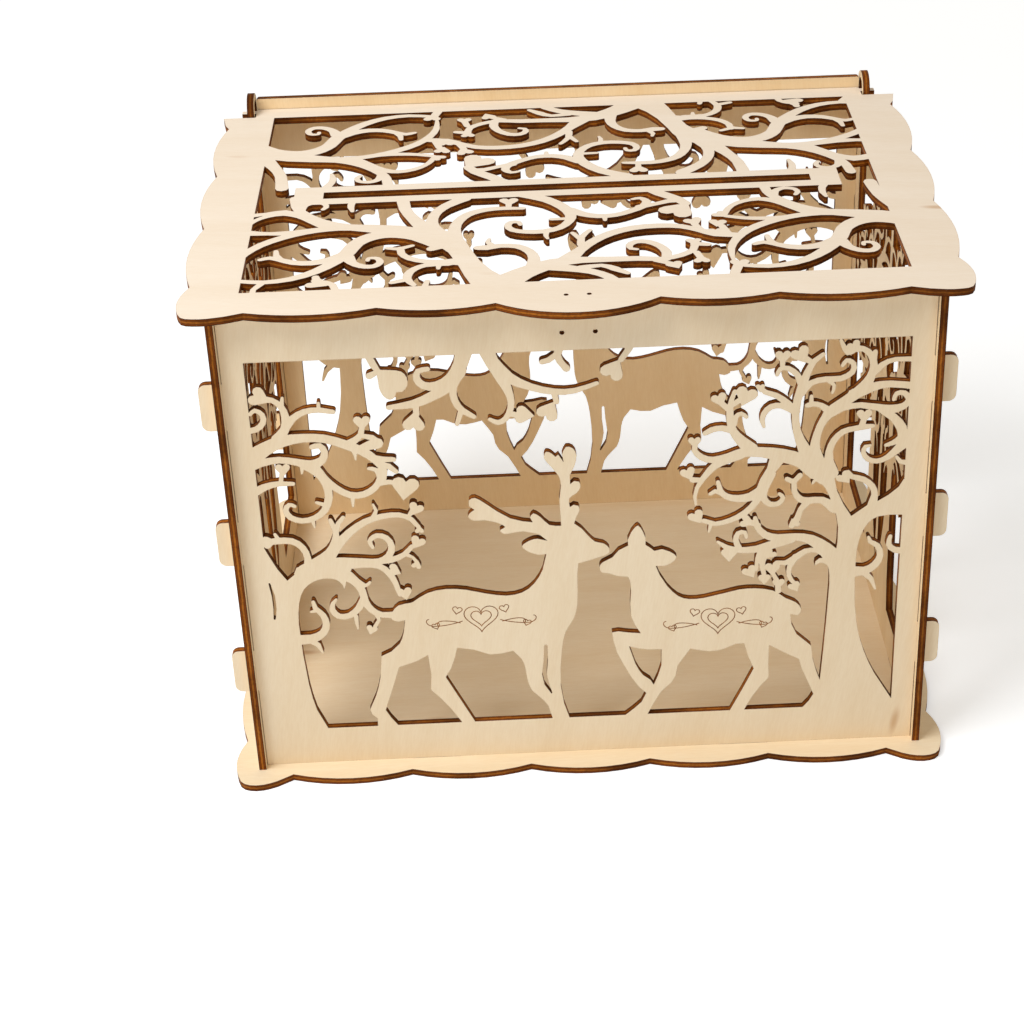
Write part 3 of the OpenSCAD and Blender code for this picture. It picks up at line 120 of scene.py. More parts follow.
class Board:
    """A node tree that is wired up from left to right, as on a pin board."""

    COLUMNS = 9
    ACROSS, DOWN = 220, -260

    def __init__(self, tree: bpy.types.NodeTree) -> None:
        """Starts on an emptied tree.

        Args:
            tree: The node tree of a material, of a world or of a group.
        """
        self.tree = tree
        self.tree.nodes.clear()
        self.count = 0

    def node(self, kind: str, values: dict[str | int, Feed] | None = None,
             **settings: object) -> bpy.types.Node:
        """Adds a node, sets it up and wires or fills its inputs.

        Args:
            kind: The node's type name.
            values: Input name or index, and the socket or the value that goes into it.
            **settings: Properties of the node itself.

        Returns:
            The new node.
        """
        made = self.tree.nodes.new(kind)
        row, column = divmod(self.count, self.COLUMNS)
        made.location = (self.ACROSS * column, self.DOWN * row)
        self.count += 1
        for name, value in settings.items():
            setattr(made, name, value)
        for name, value in (values or {}).items():
            self.put(made.inputs[name], value)
        return made

    def put(self, socket: bpy.types.NodeSocket, value: Feed) -> None:
        """Wires a socket to another one, or gives it a plain value.

        Args:
            socket: The input that is fed.
            value: The socket or the value that goes into it.
        """
        if isinstance(value, bpy.types.NodeSocket):
            self.tree.links.new(value, socket)
        else:
            socket.default_value = value

    def maths(self, operation: str, first: Feed, second: Feed = 0.0,
              clamp: bool = False) -> bpy.types.NodeSocket:
        """One sum on two numbers.

        Args:
            operation: The Math node's operation.
            first: A socket or a number.
            second: A socket or a number.
            clamp: Whether the result stays between 0 and 1.

        Returns:
            The socket with the result.
        """
        node = self.node("ShaderNodeMath", {0: first, 1: second}, operation=operation, use_clamp=clamp)
        return node.outputs[0]

    def plus(self, first: Feed, second: Feed) -> bpy.types.NodeSocket:
        """The sum of two numbers."""
        return self.maths("ADD", first, second)

    def times(self, first: Feed, second: Feed, clamp: bool = False) -> bpy.types.NodeSocket:
        """The product of two numbers, held between 0 and 1 where clamp is set."""
        return self.maths("MULTIPLY", first, second, clamp)

    def mix(self, share: Feed, first: Feed, second: Feed) -> bpy.types.NodeSocket:
        """Two colours mixed by a share.

        Args:
            share: A socket or a number, 0 for the first colour and 1 for the second.
            first: A socket or a colour.
            second: A socket or a colour.

        Returns:
            The socket with the colour.
        """
        node = self.node("ShaderNodeMix", data_type="RGBA")
        for socket, value in zip((node.inputs[0], node.inputs[6], node.inputs[7]), (share, first, second)):
            self.put(socket, value)
        return node.outputs[2]

    def span(self, value: Feed, given: Range, wanted: tuple[Feed, Feed] = (0.0, 1.0),
             smooth: bool = True) -> bpy.types.NodeSocket:
        """A number stretched from one range to another, and held at its ends.

        Args:
            value: A socket or a number.
            given: Where the number's range starts and ends.
            wanted: The result at its start and at its end.
            smooth: Whether it eases in and out.

        Returns:
            The socket with the result.
        """
        (low, high), (to_low, to_high) = given, wanted
        node = self.node("ShaderNodeMapRange", {0: value, 1: low, 2: high, 3: to_low, 4: to_high},
                         interpolation_type="SMOOTHSTEP" if smooth else "LINEAR")
        return node.outputs[0]

    def noise(self, place: Feed, pattern: Pattern) -> bpy.types.NodeSocket:
        """A pattern's own noise.

        Args:
            place: The socket with the place.
            pattern: The pattern.

        Returns:
            The socket with a number from 0 to 1.
        """
        stretched = self.node("ShaderNodeMapping", {"Vector": place, "Scale": pattern.cells}).outputs[0]
        node = self.node("ShaderNodeTexNoise", {
            "Vector": stretched, "Scale": 1.0, "Detail": pattern.detail, "Roughness": pattern.rough,
            "Distortion": pattern.bend})
        return node.outputs[0]

    def shown(self, noise: Feed, pattern: Pattern) -> bpy.types.NodeSocket:
        """How much of its colour a pattern brings, from its own noise."""
        return self.times(self.span(noise, pattern.shown), pattern.share)

    def looked_at(self) -> bpy.types.NodeSocket:
        """Tells what is looked at from what only sends its light on.

        Returns:
            The socket with 1 for a look, straight, in a gloss or through glass, and 0 for light.
        """
        ray = self.node("ShaderNodeLightPath").outputs
        gloss_or_glass = self.maths("MAXIMUM", ray["Is Glossy Ray"], ray["Is Transmission Ray"])
        return self.maths("MAXIMUM", ray["Is Camera Ray"], gloss_or_glass)


def new_group(name: str, inputs: dict[str, str],
              outputs: dict[str, str]) -> tuple[Board, dict[str, bpy.types.NodeSocket], bpy.types.Node]:
    """Starts a shader node group with named sockets.

    Args:
        name: The group's name.
        inputs: Socket type of each input, by its name.
        outputs: Socket type of each output, by its name.

    Returns:
        Its board, its inputs' sockets by name, and its output node.
    """
    tree = bpy.data.node_groups.new(name, "ShaderNodeTree")
    for way, sockets in (("INPUT", inputs), ("OUTPUT", outputs)):
        for socket, kind in sockets.items():
            tree.interface.new_socket(socket, in_out=way, socket_type=kind)
    board = Board(tree)
    way_in = board.node("NodeGroupInput")
    way_out = board.node("NodeGroupOutput")
    return board, {socket: way_in.outputs[socket] for socket in inputs}, way_out


@dataclass(frozen=True)
class VeneerFace:
    """The face of birch veneer: broad soft figure, streaks, fine fibres, a mottle and a few flecks.

    Attributes:
        broad: The broad soft figure.
        streak: The streaks along the grain.
        fibre: The fine fibres.
        mottle: The cloudy mottle over all of it.
        fleck_cells: Cells per metre, each of which may hold a fleck.
        fleck_chance: The number that a cell's own number passes where it holds a fleck.
        fleck_reach: Where a fleck ends and where it is full, as shares of its cell.
        fleck_share: How strong a fleck is.
        fibre_height: How much the fibres bring to the relief.
        streak_height: How much the streaks bring to it.
        dull_streak: The streaks' own values between which the roughness changes.
        rough: Roughness at the first and at the second of them.
    """

    broad: Pattern = Pattern((5, 26, 26), (0.34, 0.68), share=0.4, rough=0.5, bend=0.8)
    streak: Pattern = Pattern((22, 210, 210), (0.3, 0.72), share=0.24, rough=0.6, bend=0.4)
    fibre: Pattern = Pattern((190, 1500, 1500), (0.3, 0.7), share=0.3, detail=2, rough=0.6)
    mottle: Pattern = Pattern((420, 620, 620), (0.55, 0.75), share=0.1, detail=2, rough=0.5)
    fleck_cells: Cells = (17, 62, 62)
    fleck_chance: float = 0.86
    fleck_reach: Range = (0.16, 0.03)
    fleck_share: float = 0.55
    fibre_height: float = 0.7
    streak_height: float = 0.3
    dull_streak: Range = (0.3, 0.7)
    rough: Range = (0.56, 0.68)

    def build(self) -> bpy.types.NodeTree:
        """Wires the face up.

        Returns:
            The group. Its Place has the grain along X.
        """
        board, given, out = new_group(
            "birch_veneer",
            {"Place": PLACE, "Pale": COLOUR, "Deep": COLOUR, "Fleck": COLOUR, "Figure": NUMBER},
            {"Colour": COLOUR, "Height": NUMBER, "Roughness": NUMBER})
        place = given["Place"]
        broad, streak = board.noise(place, self.broad), board.noise(place, self.streak)
        fibre, mottle = board.noise(place, self.fibre), board.noise(place, self.mottle)
        share = board.plus(board.shown(broad, self.broad), board.shown(streak, self.streak))
        share = board.plus(share, board.shown(fibre, self.fibre))
        share = board.times(share, given["Figure"], clamp=True)
        wood = board.mix(share, given["Pale"], given["Deep"])
        wood = board.mix(board.shown(mottle, self.mottle), wood, given["Deep"])
        wood = board.mix(board.times(self.flecks(board, place), self.fleck_share), wood, given["Fleck"])
        board.put(out.inputs["Colour"], wood)
        height = board.plus(board.times(fibre, self.fibre_height), board.times(streak, self.streak_height))
        board.put(out.inputs["Height"], height)
        board.put(out.inputs["Roughness"], board.span(streak, self.dull_streak, self.rough))
        return board.tree

    def flecks(self, board: Board, place: bpy.types.NodeSocket) -> bpy.types.NodeSocket:
        """Small dark flecks along the grain, in a few cells only.

        Args:
            board: The group's board.
            place: The place on the sheet, with the grain along X.

        Returns:
            The socket with 1 in a fleck and 0 beside it.
        """
        stretched = board.node("ShaderNodeMapping", {"Vector": place, "Scale": self.fleck_cells}).outputs[0]
        spot = board.node("ShaderNodeTexVoronoi", {"Vector": stretched, "Scale": 1.0, "Randomness": 1.0})
        lot = board.node("ShaderNodeSeparateXYZ", {0: spot.outputs["Color"]}).outputs[0]
        picked = board.maths("GREATER_THAN", lot, self.fleck_chance)
        return board.times(board.span(spot.outputs["Distance"], self.fleck_reach), picked)


@dataclass(frozen=True)
class BurntEdge:
    """The cut edge of three-ply sheet: charred at both faces, browner in its core, with glue lines.

    Attributes:
        core: Where the core ends and where the outer plies start, from the sheet's middle plane,
            as shares of its thickness.
        glue_in: Where a glue line starts and where it is full, in the same shares.
        glue_out: Where it starts to end and where it has ended.
        skin: Where the char at the faces starts and where it is full.
        wander: The pattern that the layers wander in.
        wander_reach: How far they wander, in the same shares.
        soot: The soot that darkens long stretches of the edge.
        tick: The fine ticks along it.
        glue_share: How dark the glue lines are.
        skin_share: How dark the char at the faces is.
        tick_height: How much the ticks bring to the relief.
        rough: Roughness where it is clean and where it is sooty.
    """

    core: Range = (0.1, 0.2)
    glue_in: Range = (0.11, 0.15)
    glue_out: Range = (0.17, 0.22)
    skin: Range = (0.36, 0.47)
    wander: Pattern = Pattern((260, 260, 260), (0.25, 0.75))
    wander_reach: float = 0.06
    soot: Pattern = Pattern((34, 34, 34), (0.36, 0.66), share=0.7, rough=0.6)
    tick: Pattern = Pattern((900, 900, 900), (0.4, 0.7), share=0.3, detail=2)
    glue_share: float = 0.6
    skin_share: float = 0.9
    tick_height: float = 0.5
    rough: Range = (0.62, 0.82)

    def build(self) -> bpy.types.NodeTree:
        """Wires the edge up.

        Returns:
            The group. Its Depth runs from 0 at one face of the sheet to 1 at the other.
        """
        board, given, out = new_group(
            "burnt_edge",
            {"Place": PLACE, "Depth": NUMBER, "Char": COLOUR, "Toast": COLOUR, "Core": COLOUR},
            {"Colour": COLOUR, "Height": NUMBER, "Roughness": NUMBER})
        place, char = given["Place"], given["Char"]
        wander = board.span(board.noise(place, self.wander), self.wander.shown,
                            (-self.wander_reach, self.wander_reach), smooth=False)
        rim = board.maths("ABSOLUTE", board.maths("SUBTRACT", board.plus(given["Depth"], wander), 0.5))
        layer, skin = board.span(rim, self.core), board.span(rim, self.skin)
        glue = board.maths("SUBTRACT", board.span(rim, self.glue_in), board.span(rim, self.glue_out))
        soot = board.span(board.noise(place, self.soot), self.soot.shown)
        tick = board.span(board.noise(place, self.tick), self.tick.shown)
        wood = board.mix(layer, given["Core"], given["Toast"])
        wood = board.mix(board.times(glue, self.glue_share, clamp=True), wood, char)
        for dark, share in ((skin, self.skin_share), (soot, self.soot.share), (tick, self.tick.share)):
            wood = board.mix(board.times(dark, share), wood, char)
        board.put(out.inputs["Colour"], wood)
        board.put(out.inputs["Height"], board.plus(board.times(tick, self.tick_height), layer))
        board.put(out.inputs["Roughness"], board.span(soot, (0.0, 1.0), self.rough))
        return board.tree


@dataclass(frozen=True)
class ScorchLine:
    """The toasted line that the laser leaves on a face beside each cut.

    Attributes:
        turned: How far the rounded normal lies from the face's own, as a cosine, where the line
            fades out and where it is full.
    """

    turned: Range = (0.995, 0.78)

    def build(self) -> bpy.types.NodeTree:
        """Wires the line up.

        Returns:
            The group. Its Mask is 1 at the corner of the sheet and fades out at Reach.
        """
        board, given, out = new_group("scorch_line", {"Reach": NUMBER}, {"Mask": NUMBER})
        rounded = board.node("ShaderNodeBevel", {"Radius": given["Reach"]}, samples=4).outputs[0]
        flat = board.node("ShaderNodeNewGeometry").outputs["True Normal"]
        product = board.node("ShaderNodeVectorMath", {0: rounded, 1: flat}, operation="DOT_PRODUCT")
        board.put(out.inputs["Mask"], board.span(product.outputs["Value"], self.turned))
        return board.tree


@dataclass(frozen=True)
class Effects:
    """The effects that all sheets share."""

    face: bpy.types.NodeTree
    edge: bpy.types.NodeTree
    scorch: bpy.types.NodeTree


@dataclass(frozen=True)
class PlyFinish:
    """The finish of one plywood sheet.

    Attributes:
        name: The material's name.
        pale: The veneer's lighter colour.
        deep: The veneer's darker figure.
        grain: The axis that its fibres run along, X or Z.
        lean: How far the fibres lean from it, in degrees.
        figure: How strong the figure is.
        fleck: The colour of the veneer's flecks.
        char: The darkest burn on the edge.
        toast: The edge's outer plies.
        core: The edge's middle ply.
        scorch: The line on the face beside each cut.
        scorch_reach: How wide that line is, in metres.
        scorch_share: How strong it is.
        edge_turn: How far a normal lies from the sheet's own, as a cosine, where the face ends and
            where the cut edge starts.
        sheet_shift: How far the figure moves along each axis per metre of the sheet's own place,
            which sets one sheet's figure apart from the next.
        bump: How strong the relief is.
        relief: How high it is, in metres.
    """

    name: str
    pale: Colour
    deep: Colour
    grain: Axis
    lean: float
    figure: float = 0.8
    fleck: Colour = srgb(196, 146, 92)
    char: Colour = srgb(48, 18, 3)
    toast: Colour = srgb(128, 66, 14)
    core: Colour = srgb(176, 104, 30)
    scorch: Colour = srgb(150, 102, 56)
    scorch_reach: float = 0.45 * MM
    scorch_share: float = 0.55
    edge_turn: Range = (0.75, 0.6)
    sheet_shift: Cells = (7.3, 3.1, 5.7)
    bump: float = 0.18
    relief: float = 0.08 * MM

    def material(self, thickness: Axis, low: float, high: float, effects: Effects) -> bpy.types.Material:
        """Builds the sheet's material.

        Args:
            thickness: The axis that goes through the sheet.
            low: Where the sheet starts on that axis, in metres.
            high: Where it ends.
            effects: The shared effects.

        Returns:
            The material.
        """
        made = bpy.data.materials.new(self.name)
        made.use_nodes = True
        board = Board(made.node_tree)
        own = board.node("ShaderNodeTexCoord").outputs
        through = board.node("ShaderNodeSeparateXYZ", {0: own["Object"]}).outputs[thickness.value]
        facing = board.node("ShaderNodeSeparateXYZ", {0: own["Normal"]}).outputs[thickness.value]
        is_edge = board.span(board.maths("ABSOLUTE", facing), self.edge_turn)
        face = board.node("ShaderNodeGroup", {
            "Place": self.along_grain(board, own["Object"], thickness, low),
            "Pale": self.pale, "Deep": self.deep, "Fleck": self.fleck, "Figure": self.figure,
        }, node_tree=effects.face).outputs
        edge = board.node("ShaderNodeGroup", {
            "Place": own["Object"], "Depth": board.span(through, (low, high), smooth=False),
            "Char": self.char, "Toast": self.toast, "Core": self.core,
        }, node_tree=effects.edge).outputs
        line = board.node("ShaderNodeGroup", {"Reach": self.scorch_reach}, node_tree=effects.scorch).outputs
        toasted = board.mix(board.times(line["Mask"], self.scorch_share), face["Colour"], self.scorch)
        colour = board.mix(is_edge, toasted, edge["Colour"])
        rough = board.span(is_edge, (0.0, 1.0), (face["Roughness"], edge["Roughness"]), smooth=False)
        height = board.span(is_edge, (0.0, 1.0), (face["Height"], edge["Height"]), smooth=False)
        bump = board.node("ShaderNodeBump", {
            "Strength": self.bump, "Distance": self.relief, "Height": height})
        shader = board.node("ShaderNodeBsdfPrincipled", {
            "Base Color": colour, "Roughness": rough, "Normal": bump.outputs[0], "IOR": 1.45,
            "Specular IOR Level": 0.12})
        board.node("ShaderNodeOutputMaterial", {"Surface": shader.outputs[0]})
        return made

    def along_grain(self, board: Board, place: bpy.types.NodeSocket, thickness: Axis,
                    low: float) -> bpy.types.NodeSocket:
        """The place on the sheet, turned so that the fibres run along X.

        Args:
            board: The material's board.
            place: The object's own coordinates.
            thickness: The axis that goes through the sheet.
            low: The sheet's place on that axis.

        Returns:
            The socket with the turned place.
        """
        lean = tuple(math.radians(self.lean) if axis is thickness else 0.0 for axis in Axis)
        leant = board.node("ShaderNodeMapping", {"Vector": place, "Rotation": lean}).outputs[0]
        upright = math.radians(90.0) if self.grain is Axis.Z else 0.0
        shift = tuple(low * part for part in self.sheet_shift)
        turned = board.node("ShaderNodeMapping", {
            "Vector": leant, "Rotation": (0.0, upright, 0.0), "Location": shift})
        return turned.outputs[0]


@dataclass
class PlySheet:
    """One laser-cut sheet, as the box's own solid gives it.

    Attributes:
        node: The solid's name.
        thickness: The axis that goes through it.
        finish: Its finish.
    """

    node: str
    thickness: Axis
    finish: PlyFinish

    def dress(self, effects: Effects) -> bpy.types.Object:
        """Gives the sheet its finish.

        Args:
            effects: The shared effects.

        Returns:
            The sheet's object.
        """
        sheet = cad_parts[self.node]
        low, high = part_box(self.node)
        axis = self.thickness.value
        sheet.data.materials.clear()
        sheet.data.materials.append(self.finish.material(self.thickness, low[axis], high[axis], effects))
        return sheet


def heart_path(middle: Point, height: float, lean: float = 0.0, steps: int = 40) -> Path:
    """A closed heart, by the usual heart curve of sines and cosines.

    Args:
        middle: Its middle across and up, in millimetres.
        height: Its height in millimetres.
        lean: How far it leans to the left, in degrees.
        steps: How many points it has.

    Returns:
        Its points, in millimetres.
    """
    curve_height, curve_middle = 29, -2.5
    turn = math.radians(lean)
    points = []
    for i in range(steps):
        t = math.tau * i / steps
        across = 16 * math.sin(t) ** 3 * height / curve_height
        up = 13 * math.cos(t) - 5 * math.cos(2 * t) - 2 * math.cos(3 * t) - math.cos(4 * t)
        up = (up - curve_middle) * height / curve_height
        points.append((middle[0] + across * math.cos(turn) - up * math.sin(turn),
                       middle[1] + across * math.sin(turn) + up * math.cos(turn)))
    return points


@dataclass(frozen=True)
class Bud:
    """A little heart beside the middle one, leaning away from it.

    Attributes:
        out: How far it stands from the middle heart's middle, in millimetres.
        up: How far above it, in millimetres.
        height: Its own height in millimetres.
        lean: How far it leans, in degrees.
        steps: How many points it has.
    """

    out: float
    up: float
    height: float
    lean: float
    steps: int

    def path(self, middle: Point, side: int) -> Path:
        """Its points, beside the given middle and on the given side."""
        place = (middle[0] + side * self.out, middle[1] + self.up)
        return heart_path(place, self.height, side * self.lean, self.steps)


@dataclass(frozen=True)
class Sprig:
    """A line that runs out in a shallow wave and ends in a curl.

    Attributes:
        out: How far it starts from the middle heart's middle, in millimetres.
        up: How far above it, in millimetres.
        length: How far it would reach without its curl, in millimetres.
        lift: 1 where it curls upwards, and -1 downwards.
        dip: The heading that it starts with, in radians.
        drift: How far it turns at each step.
        curl: How much more it turns at each step in its curl.
        curl_from: Where the curl starts, as a share of the line.
        curl_growth: How fast the curl tightens.
        pace: The length of its first step, in even steps.
        slowing: How much shorter the last step is.
        steps: How many steps it has.
    """

    out: float
    up: float
    length: float
    lift: int
    dip: float = -0.35
    drift: float = 0.02
    curl: float = 0.62
    curl_from: float = 0.42
    curl_growth: float = 1.15
    pace: float = 1.35
    slowing: float = 0.95
    steps: int = 34

    def path(self, middle: Point, side: int) -> Path:
        """Walks along the line.

        Args:
            middle: The middle heart's middle, in millimetres.
            side: 1 where the line runs to the right, and -1 to the left.

        Returns:
            Its points, in millimetres.
        """
        start = (middle[0] + side * self.out, middle[1] + self.up)
        points = []
        heading, x, y = self.dip, 0.0, 0.0
        for i in range(self.steps + 1):
            points.append((start[0] + side * x, start[1] + self.lift * y))
            share = i / self.steps
            heading += self.drift + self.curl * max(0.0, share - self.curl_from) ** self.curl_growth
            step = self.length / self.steps * (self.pace - self.slowing * share)
            x += step * math.cos(heading)
            y += step * math.sin(heading)
        return points


@dataclass
class BurntOrnament:
    """A thin burnt line drawing on the front panel's face: a heart between two sprigs on each deer.

    Attributes:
        half_width: Half the line's width, in metres.
        proud: How far it stands out of the face, in metres.
        middles: The middle heart's place on each deer, across and above the base plate, in millimetres.
        heart: The middle heart's height, in millimetres.
        inner_share: The height of the heart inside it, as a share of its own.
        inner_up: How far that one's middle lies above its own, in millimetres.
        sprigs: The sprigs at each side.
        buds: The little hearts at each side.
        ink: The line's lighter burn.
        deep_ink: The line's darker burn.
        patch: The pattern in which the burn comes and goes.
        rough: Roughness of the lighter and of the darker burn.
    """

    half_width: float = 0.22 * MM
    proud: float = 0.03 * MM
    middles: tuple[Point, ...] = ((-42.5, 68.5), (53.5, 62.5))
    heart: float = 12.5
    inner_share: float = 0.6
    inner_up: float = 0.3
    sprigs: tuple[Sprig, ...] = (Sprig(7.6, -0.5, 20.0, 1), Sprig(8.4, -1.4, 13.0, -1))
    buds: tuple[Bud, ...] = (Bud(9.6, 4.6, 3.6, 14.0, 20), Bud(18.4, -2.6, 3.0, -18.0, 18))
    ink: Colour = srgb(160, 106, 58)
    deep_ink: Colour = srgb(122, 74, 34)
    patch: Pattern = Pattern((380, 380, 380), (0.35, 0.65))
    rough: Range = (0.6, 0.75)

    def paths(self) -> list[tuple[Path, bool]]:
        """The drawing's lines.

        Returns:
            Each line's points, and whether it is closed.
        """
        lines: list[tuple[Path, bool]] = []
        for middle in self.middles:
            inner = (middle[0], middle[1] + self.inner_up)
            lines.append((heart_path(middle, self.heart), True))
            lines.append((heart_path(inner, self.heart * self.inner_share), True))
            for side in (-1, 1):
                lines += [(sprig.path(middle, side), False) for sprig in self.sprigs]
                lines += [(bud.path(middle, side), True) for bud in self.buds]
        return lines

    def wire(self, path: Path, closed: bool) -> bpy.types.Object:
        """Lays one line as a thin round wire, upright in the plane through the origin.

        Args:
            path: The line's points, in millimetres.
            closed: Whether it is closed.

        Returns:
            The wire, as a mesh.
        """
        bpy.ops.object.select_all(action="DESELECT")
        bpy.ops.curve.primitive_bezier_curve_add(radius=MM, location=(0, 0, 0))
        curve = bpy.context.active_object.data
        curve.splines.clear()
        spline = curve.splines.new("POLY")
        spline.points.add(len(path) - 1)
        for point, (across, up) in zip(spline.points, path):
            point.co = (across * MM, 0.0, up * MM, 1.0)
        spline.use_cyclic_u = closed
        curve.dimensions = "3D"
        curve.bevel_depth = self.half_width
        curve.bevel_resolution = 1
        curve.use_fill_caps = True
        bpy.ops.object.convert(target="MESH")
        return bpy.context.active_object

    def build(self, face_y: float, base_z: float) -> bpy.types.Object:
        """Joins the lines' wires to one mesh and flattens it into the face.

        Args:
            face_y: Where the panel's face lies, in metres.
            base_z: The height that the drawing's own heights start from, in metres.

        Returns:
            The ornament.
        """
        wires = [self.wire(path, closed) for path, closed in self.paths()]
        bpy.ops.object.select_all(action="DESELECT")
        for wire in wires:
            wire.select_set(True)
        bpy.context.view_layer.objects.active = wires[0]
        bpy.ops.object.join()
        made = bpy.context.active_object
        made.name = "burnt_ornament"
        made.data.transform(Matrix.Diagonal((1.0, self.proud / self.half_width, 1.0, 1.0)))
        made.data.transform(Matrix.Translation((0.0, face_y, base_z)))
        bpy.ops.object.transform_apply(location=True, rotation=True, scale=True)
        bpy.ops.object.mode_set(mode="EDIT")
        bpy.ops.mesh.select_all(action="SELECT")
        bpy.ops.mesh.normals_make_consistent(inside=False)
        bpy.ops.object.mode_set(mode="OBJECT")
        made.data.materials.clear()
        made.data.materials.append(self.material())
        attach(made, "box")
        return made

    def material(self) -> bpy.types.Material:
        """A light scorch that comes and goes along the line.

        Returns:
            The material.
        """
        made = bpy.data.materials.new("burnt_line")
        made.use_nodes = True
        board = Board(made.node_tree)
        place = board.node("ShaderNodeTexCoord").outputs["Object"]
        patch = board.span(board.noise(place, self.patch), self.patch.shown)
        shader = board.node("ShaderNodeBsdfPrincipled", {
            "Base Color": board.mix(patch, self.ink, self.deep_ink),
            "Roughness": board.span(patch, (0.0, 1.0), self.rough), "Specular IOR Level": 0.2})
        board.node("ShaderNodeOutputMaterial", {"Surface": shader.outputs[0]})
        return made


@dataclass(frozen=True)
class Lamp:
    """One soft square lamp that looks at the box.

    Attributes:
        name: The lamp's name.
        place: Where it hangs, in metres.
        size: The length of its side, in metres.
        power: Its power in watts.
        tint: Its colour.
        aim: The point that it looks at, in metres.
    """

    name: str
    place: tuple[float, float, float]
    size: float
    power: float
    tint: Colour
    aim: tuple[float, float, float] = (0.0, 0.0, 0.1)

    def hang(self) -> bpy.types.Object:
        """Hangs the lamp.

        Returns:
            The lamp.
        """
        bpy.ops.object.select_all(action="DESELECT")
        bpy.ops.object.light_add(type="AREA", location=self.place)
        lamp = bpy.context.active_object
        lamp.name = self.name
        lamp.data.shape = "SQUARE"
        lamp.data.size = self.size
        lamp.data.energy = self.power
        lamp.data.color = self.tint[:3]
        lamp.rotation_euler = (Vector(self.aim) - Vector(self.place)).to_track_quat("-Z", "Y").to_euler()
        return lamp


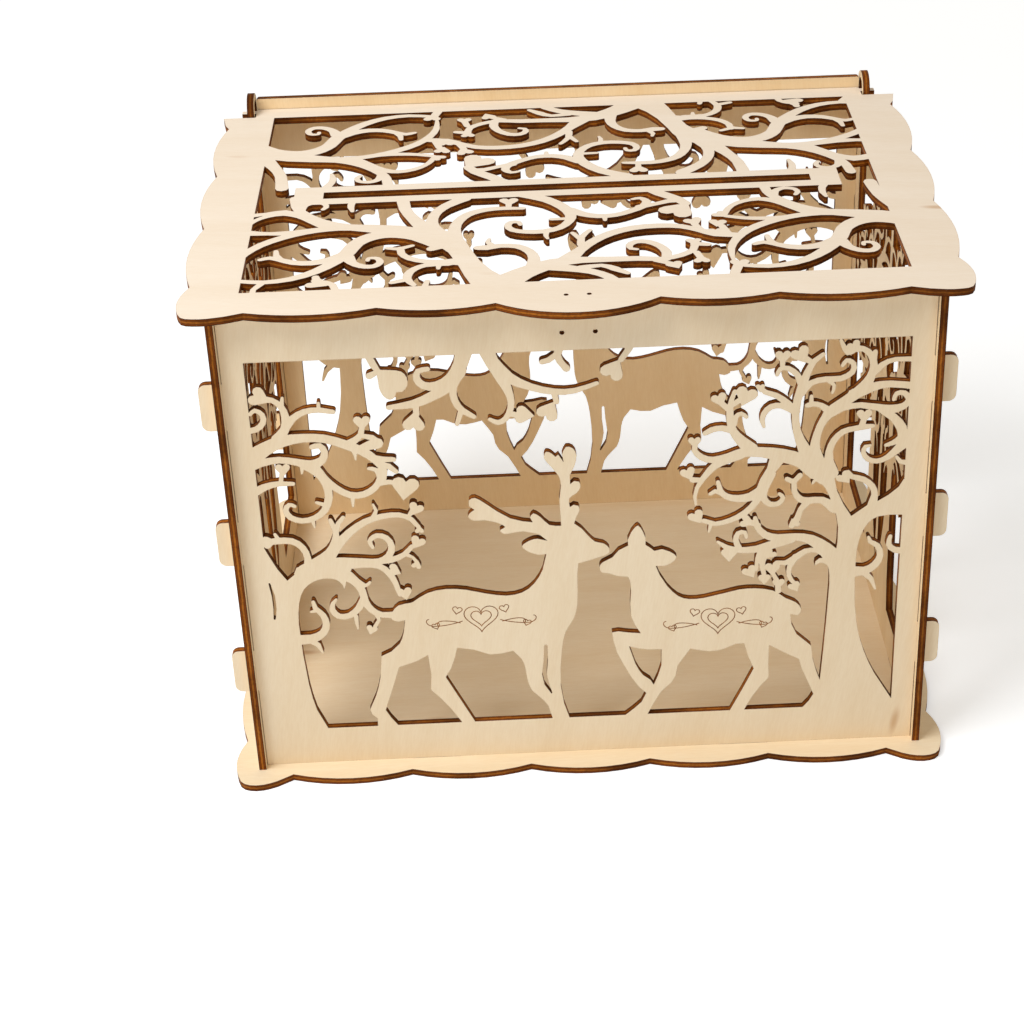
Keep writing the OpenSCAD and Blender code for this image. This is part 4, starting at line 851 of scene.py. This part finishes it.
@dataclass
class Studio:
    """The table, the light from all round, the lamps and the camera.

    Attributes:
        table_size: The length of the table's side, in metres.
        table_tones: The two whites that the table's tone drifts between.
        tone_drift: The pattern of that drift.
        painted_table_glow: The strength of the table's painted glow, a painted light that only looks see,
            under the box and far from it.
        glow_reach: Where that painted glow starts to change and where it is reached, in metres.
        room_light: How strong the light from all round is.
        room_tint: Its colour.
        lamps: The lamps.
        eye: Where the camera stands, in metres.
        right: The camera's right, as a direction.
        down: Its down.
        ahead: Where it looks.
        film: The width of its film, in millimetres.
        focal: Its lens, in millimetres.
        shift: How far its lens is shifted, as shares of the film's width.
        clip: The nearest and the farthest that it sees, in metres.
    """

    table_size: float = 14.0
    table_tones: tuple[Colour, Colour] = (srgb(240, 245, 252), srgb(243, 247, 253))
    tone_drift: Pattern = Pattern((3, 3, 3), detail=2)
    painted_table_glow: Range = (0.4, 0.64)
    glow_reach: Range = (0.4, 2.2)
    room_light: float = 0.46
    room_tint: Colour = (1.0, 0.93, 0.82, 1.0)
    lamps: tuple[Lamp, ...] = (
        Lamp("key_lamp", (-0.72, -0.5, 1.25), 0.8, 13.8, srgb(255, 255, 254)),
        Lamp("fill_lamp", (-1.1, -1.1, 0.3), 0.6, 1.0, srgb(255, 252, 248)))
    eye: tuple[float, float, float] = (-0.02219, -0.85006, 0.57272)
    right: tuple[float, float, float] = (0.998797, -0.043029, -0.023501)
    down: tuple[float, float, float] = (-0.042527, -0.521797, -0.852009)
    ahead: tuple[float, float, float] = (0.024398, 0.851984, -0.522999)
    film: float = 36.0
    focal: float = 78.21
    shift: tuple[float, float] = (-0.0684, 0.0151)
    clip: Range = (0.01, 60.0)

    def table(self, height: float) -> bpy.types.Object:
        """Lays a wide white table under the box.

        Args:
            height: Where its top is, in metres.

        Returns:
            The table.
        """
        bpy.ops.object.select_all(action="DESELECT")
        bpy.ops.mesh.primitive_plane_add(size=self.table_size, location=(0, 0, height))
        table = bpy.context.active_object
        table.name = "table_top"
        table.data.materials.append(self.white())
        table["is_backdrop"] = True
        return table

    def white(self) -> bpy.types.Material:
        """The table's matt white with a painted glow, seen by the camera and in glosses only, which is
        weaker under the box and stronger far from it, so that the table stays bright away from the lamps.

        Returns:
            The material.
        """
        made = bpy.data.materials.new("white_table")
        made.use_nodes = True
        board = Board(made.node_tree)
        place = board.node("ShaderNodeTexCoord").outputs["Object"]
        tone = board.mix(board.noise(place, self.tone_drift), *self.table_tones)
        matt = board.node("ShaderNodeBsdfDiffuse", {"Color": tone})
        away = board.node("ShaderNodeVectorMath", {0: place}, operation="LENGTH").outputs["Value"]
        # Painted light: the table glows by itself for the camera, less under the box and more far from it.
        bright = board.times(board.looked_at(), board.span(away, self.glow_reach, self.painted_table_glow))
        glow = board.node("ShaderNodeEmission", {"Color": WHITE, "Strength": bright})
        both = board.node("ShaderNodeAddShader", {0: matt.outputs[0], 1: glow.outputs[0]})
        board.node("ShaderNodeOutputMaterial", {"Surface": both.outputs[0]})
        return made

    def room(self) -> bpy.types.World:
        """Soft even light from all round, in front of a white backdrop.

        Returns:
            The world.
        """
        world = bpy.data.worlds.new("white_room")
        bpy.context.scene.world = world
        world.use_nodes = True
        board = Board(world.node_tree)
        seen = board.looked_at()
        back = board.node("ShaderNodeBackground", {
            "Color": board.mix(seen, self.room_tint, WHITE),
            "Strength": board.span(seen, (0.0, 1.0), (self.room_light, 1.0), smooth=False)})
        board.node("ShaderNodeOutputWorld", {"Surface": back.outputs[0]})
        return world

    def camera(self) -> bpy.types.Object:
        """Sets up the camera in front of the box.

        Returns:
            The camera.
        """
        bpy.ops.object.camera_add(location=self.eye)
        camera = bpy.context.active_object
        camera.name = "front_camera"
        right, down, ahead = Vector(self.right), Vector(self.down), Vector(self.ahead)
        turn = Matrix((right, -down, -ahead)).transposed().to_4x4()
        camera.matrix_world = Matrix.Translation(self.eye) @ turn
        camera.data.sensor_width = self.film
        camera.data.lens = self.focal
        camera.data.shift_x, camera.data.shift_y = self.shift
        camera.data.clip_start, camera.data.clip_end = self.clip
        bpy.context.scene.camera = camera
        return camera


# The back and side panels are given a darker, warmer tan than the base, front and lid, partly as the
# sheets' own tone and partly as painted shade, since they are mostly seen in the shade inside the box.
BASE = PlyFinish("birch_base", srgb(250, 233, 204), srgb(238, 213, 174), Axis.X, lean=0.0)
FRONT = PlyFinish("birch_front", srgb(249, 231, 202), srgb(236, 212, 176), Axis.Z, lean=-9.0)
BACK = PlyFinish("birch_back", srgb(250, 225, 186), srgb(236, 204, 156), Axis.Z, lean=4.0)
LEFT = PlyFinish("birch_left", srgb(244, 222, 187), srgb(226, 197, 153), Axis.Z, lean=3.0)
RIGHT = PlyFinish("birch_right", srgb(244, 222, 187), srgb(226, 197, 153), Axis.Z, lean=-4.0)
LID = PlyFinish("birch_lid", srgb(246, 233, 217), srgb(236, 218, 195), Axis.X, lean=8.0, figure=0.7)


def main() -> None:
    """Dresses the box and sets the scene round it."""
    logging.basicConfig(level=logging.INFO, format="%(name)s: %(message)s")
    solid_low, solid_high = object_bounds()
    effects = Effects(VeneerFace().build(), BurntEdge().build(), ScorchLine().build())
    sheets = [
        PlySheet("base_plate", Axis.Z, BASE),
        PlySheet("front_panel", Axis.Y, FRONT),
        PlySheet("back_panel", Axis.Y, BACK),
        PlySheet("left_side_panel", Axis.X, LEFT),
        PlySheet("right_side_panel", Axis.X, RIGHT),
        PlySheet("lid", Axis.Z, LID),
    ]
    for sheet in sheets:
        dressed = sheet.dress(effects)
        LOG.info("dressed %s with %s", dressed.name, sheet.finish.name)
    front_low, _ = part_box("front_panel")
    _, base_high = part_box("base_plate")
    ornament = BurntOrnament().build(front_low.y, base_high.z)
    LOG.info("drew %s with %d faces", ornament.name, len(ornament.data.polygons))
    studio = Studio()
    studio.table(solid_low.z)
    studio.room()
    for lamp in studio.lamps:
        lamp.hang()
    studio.camera()
    bpy.context.scene.view_settings.view_transform = "Standard"


if __name__ == "__main__":
    main()
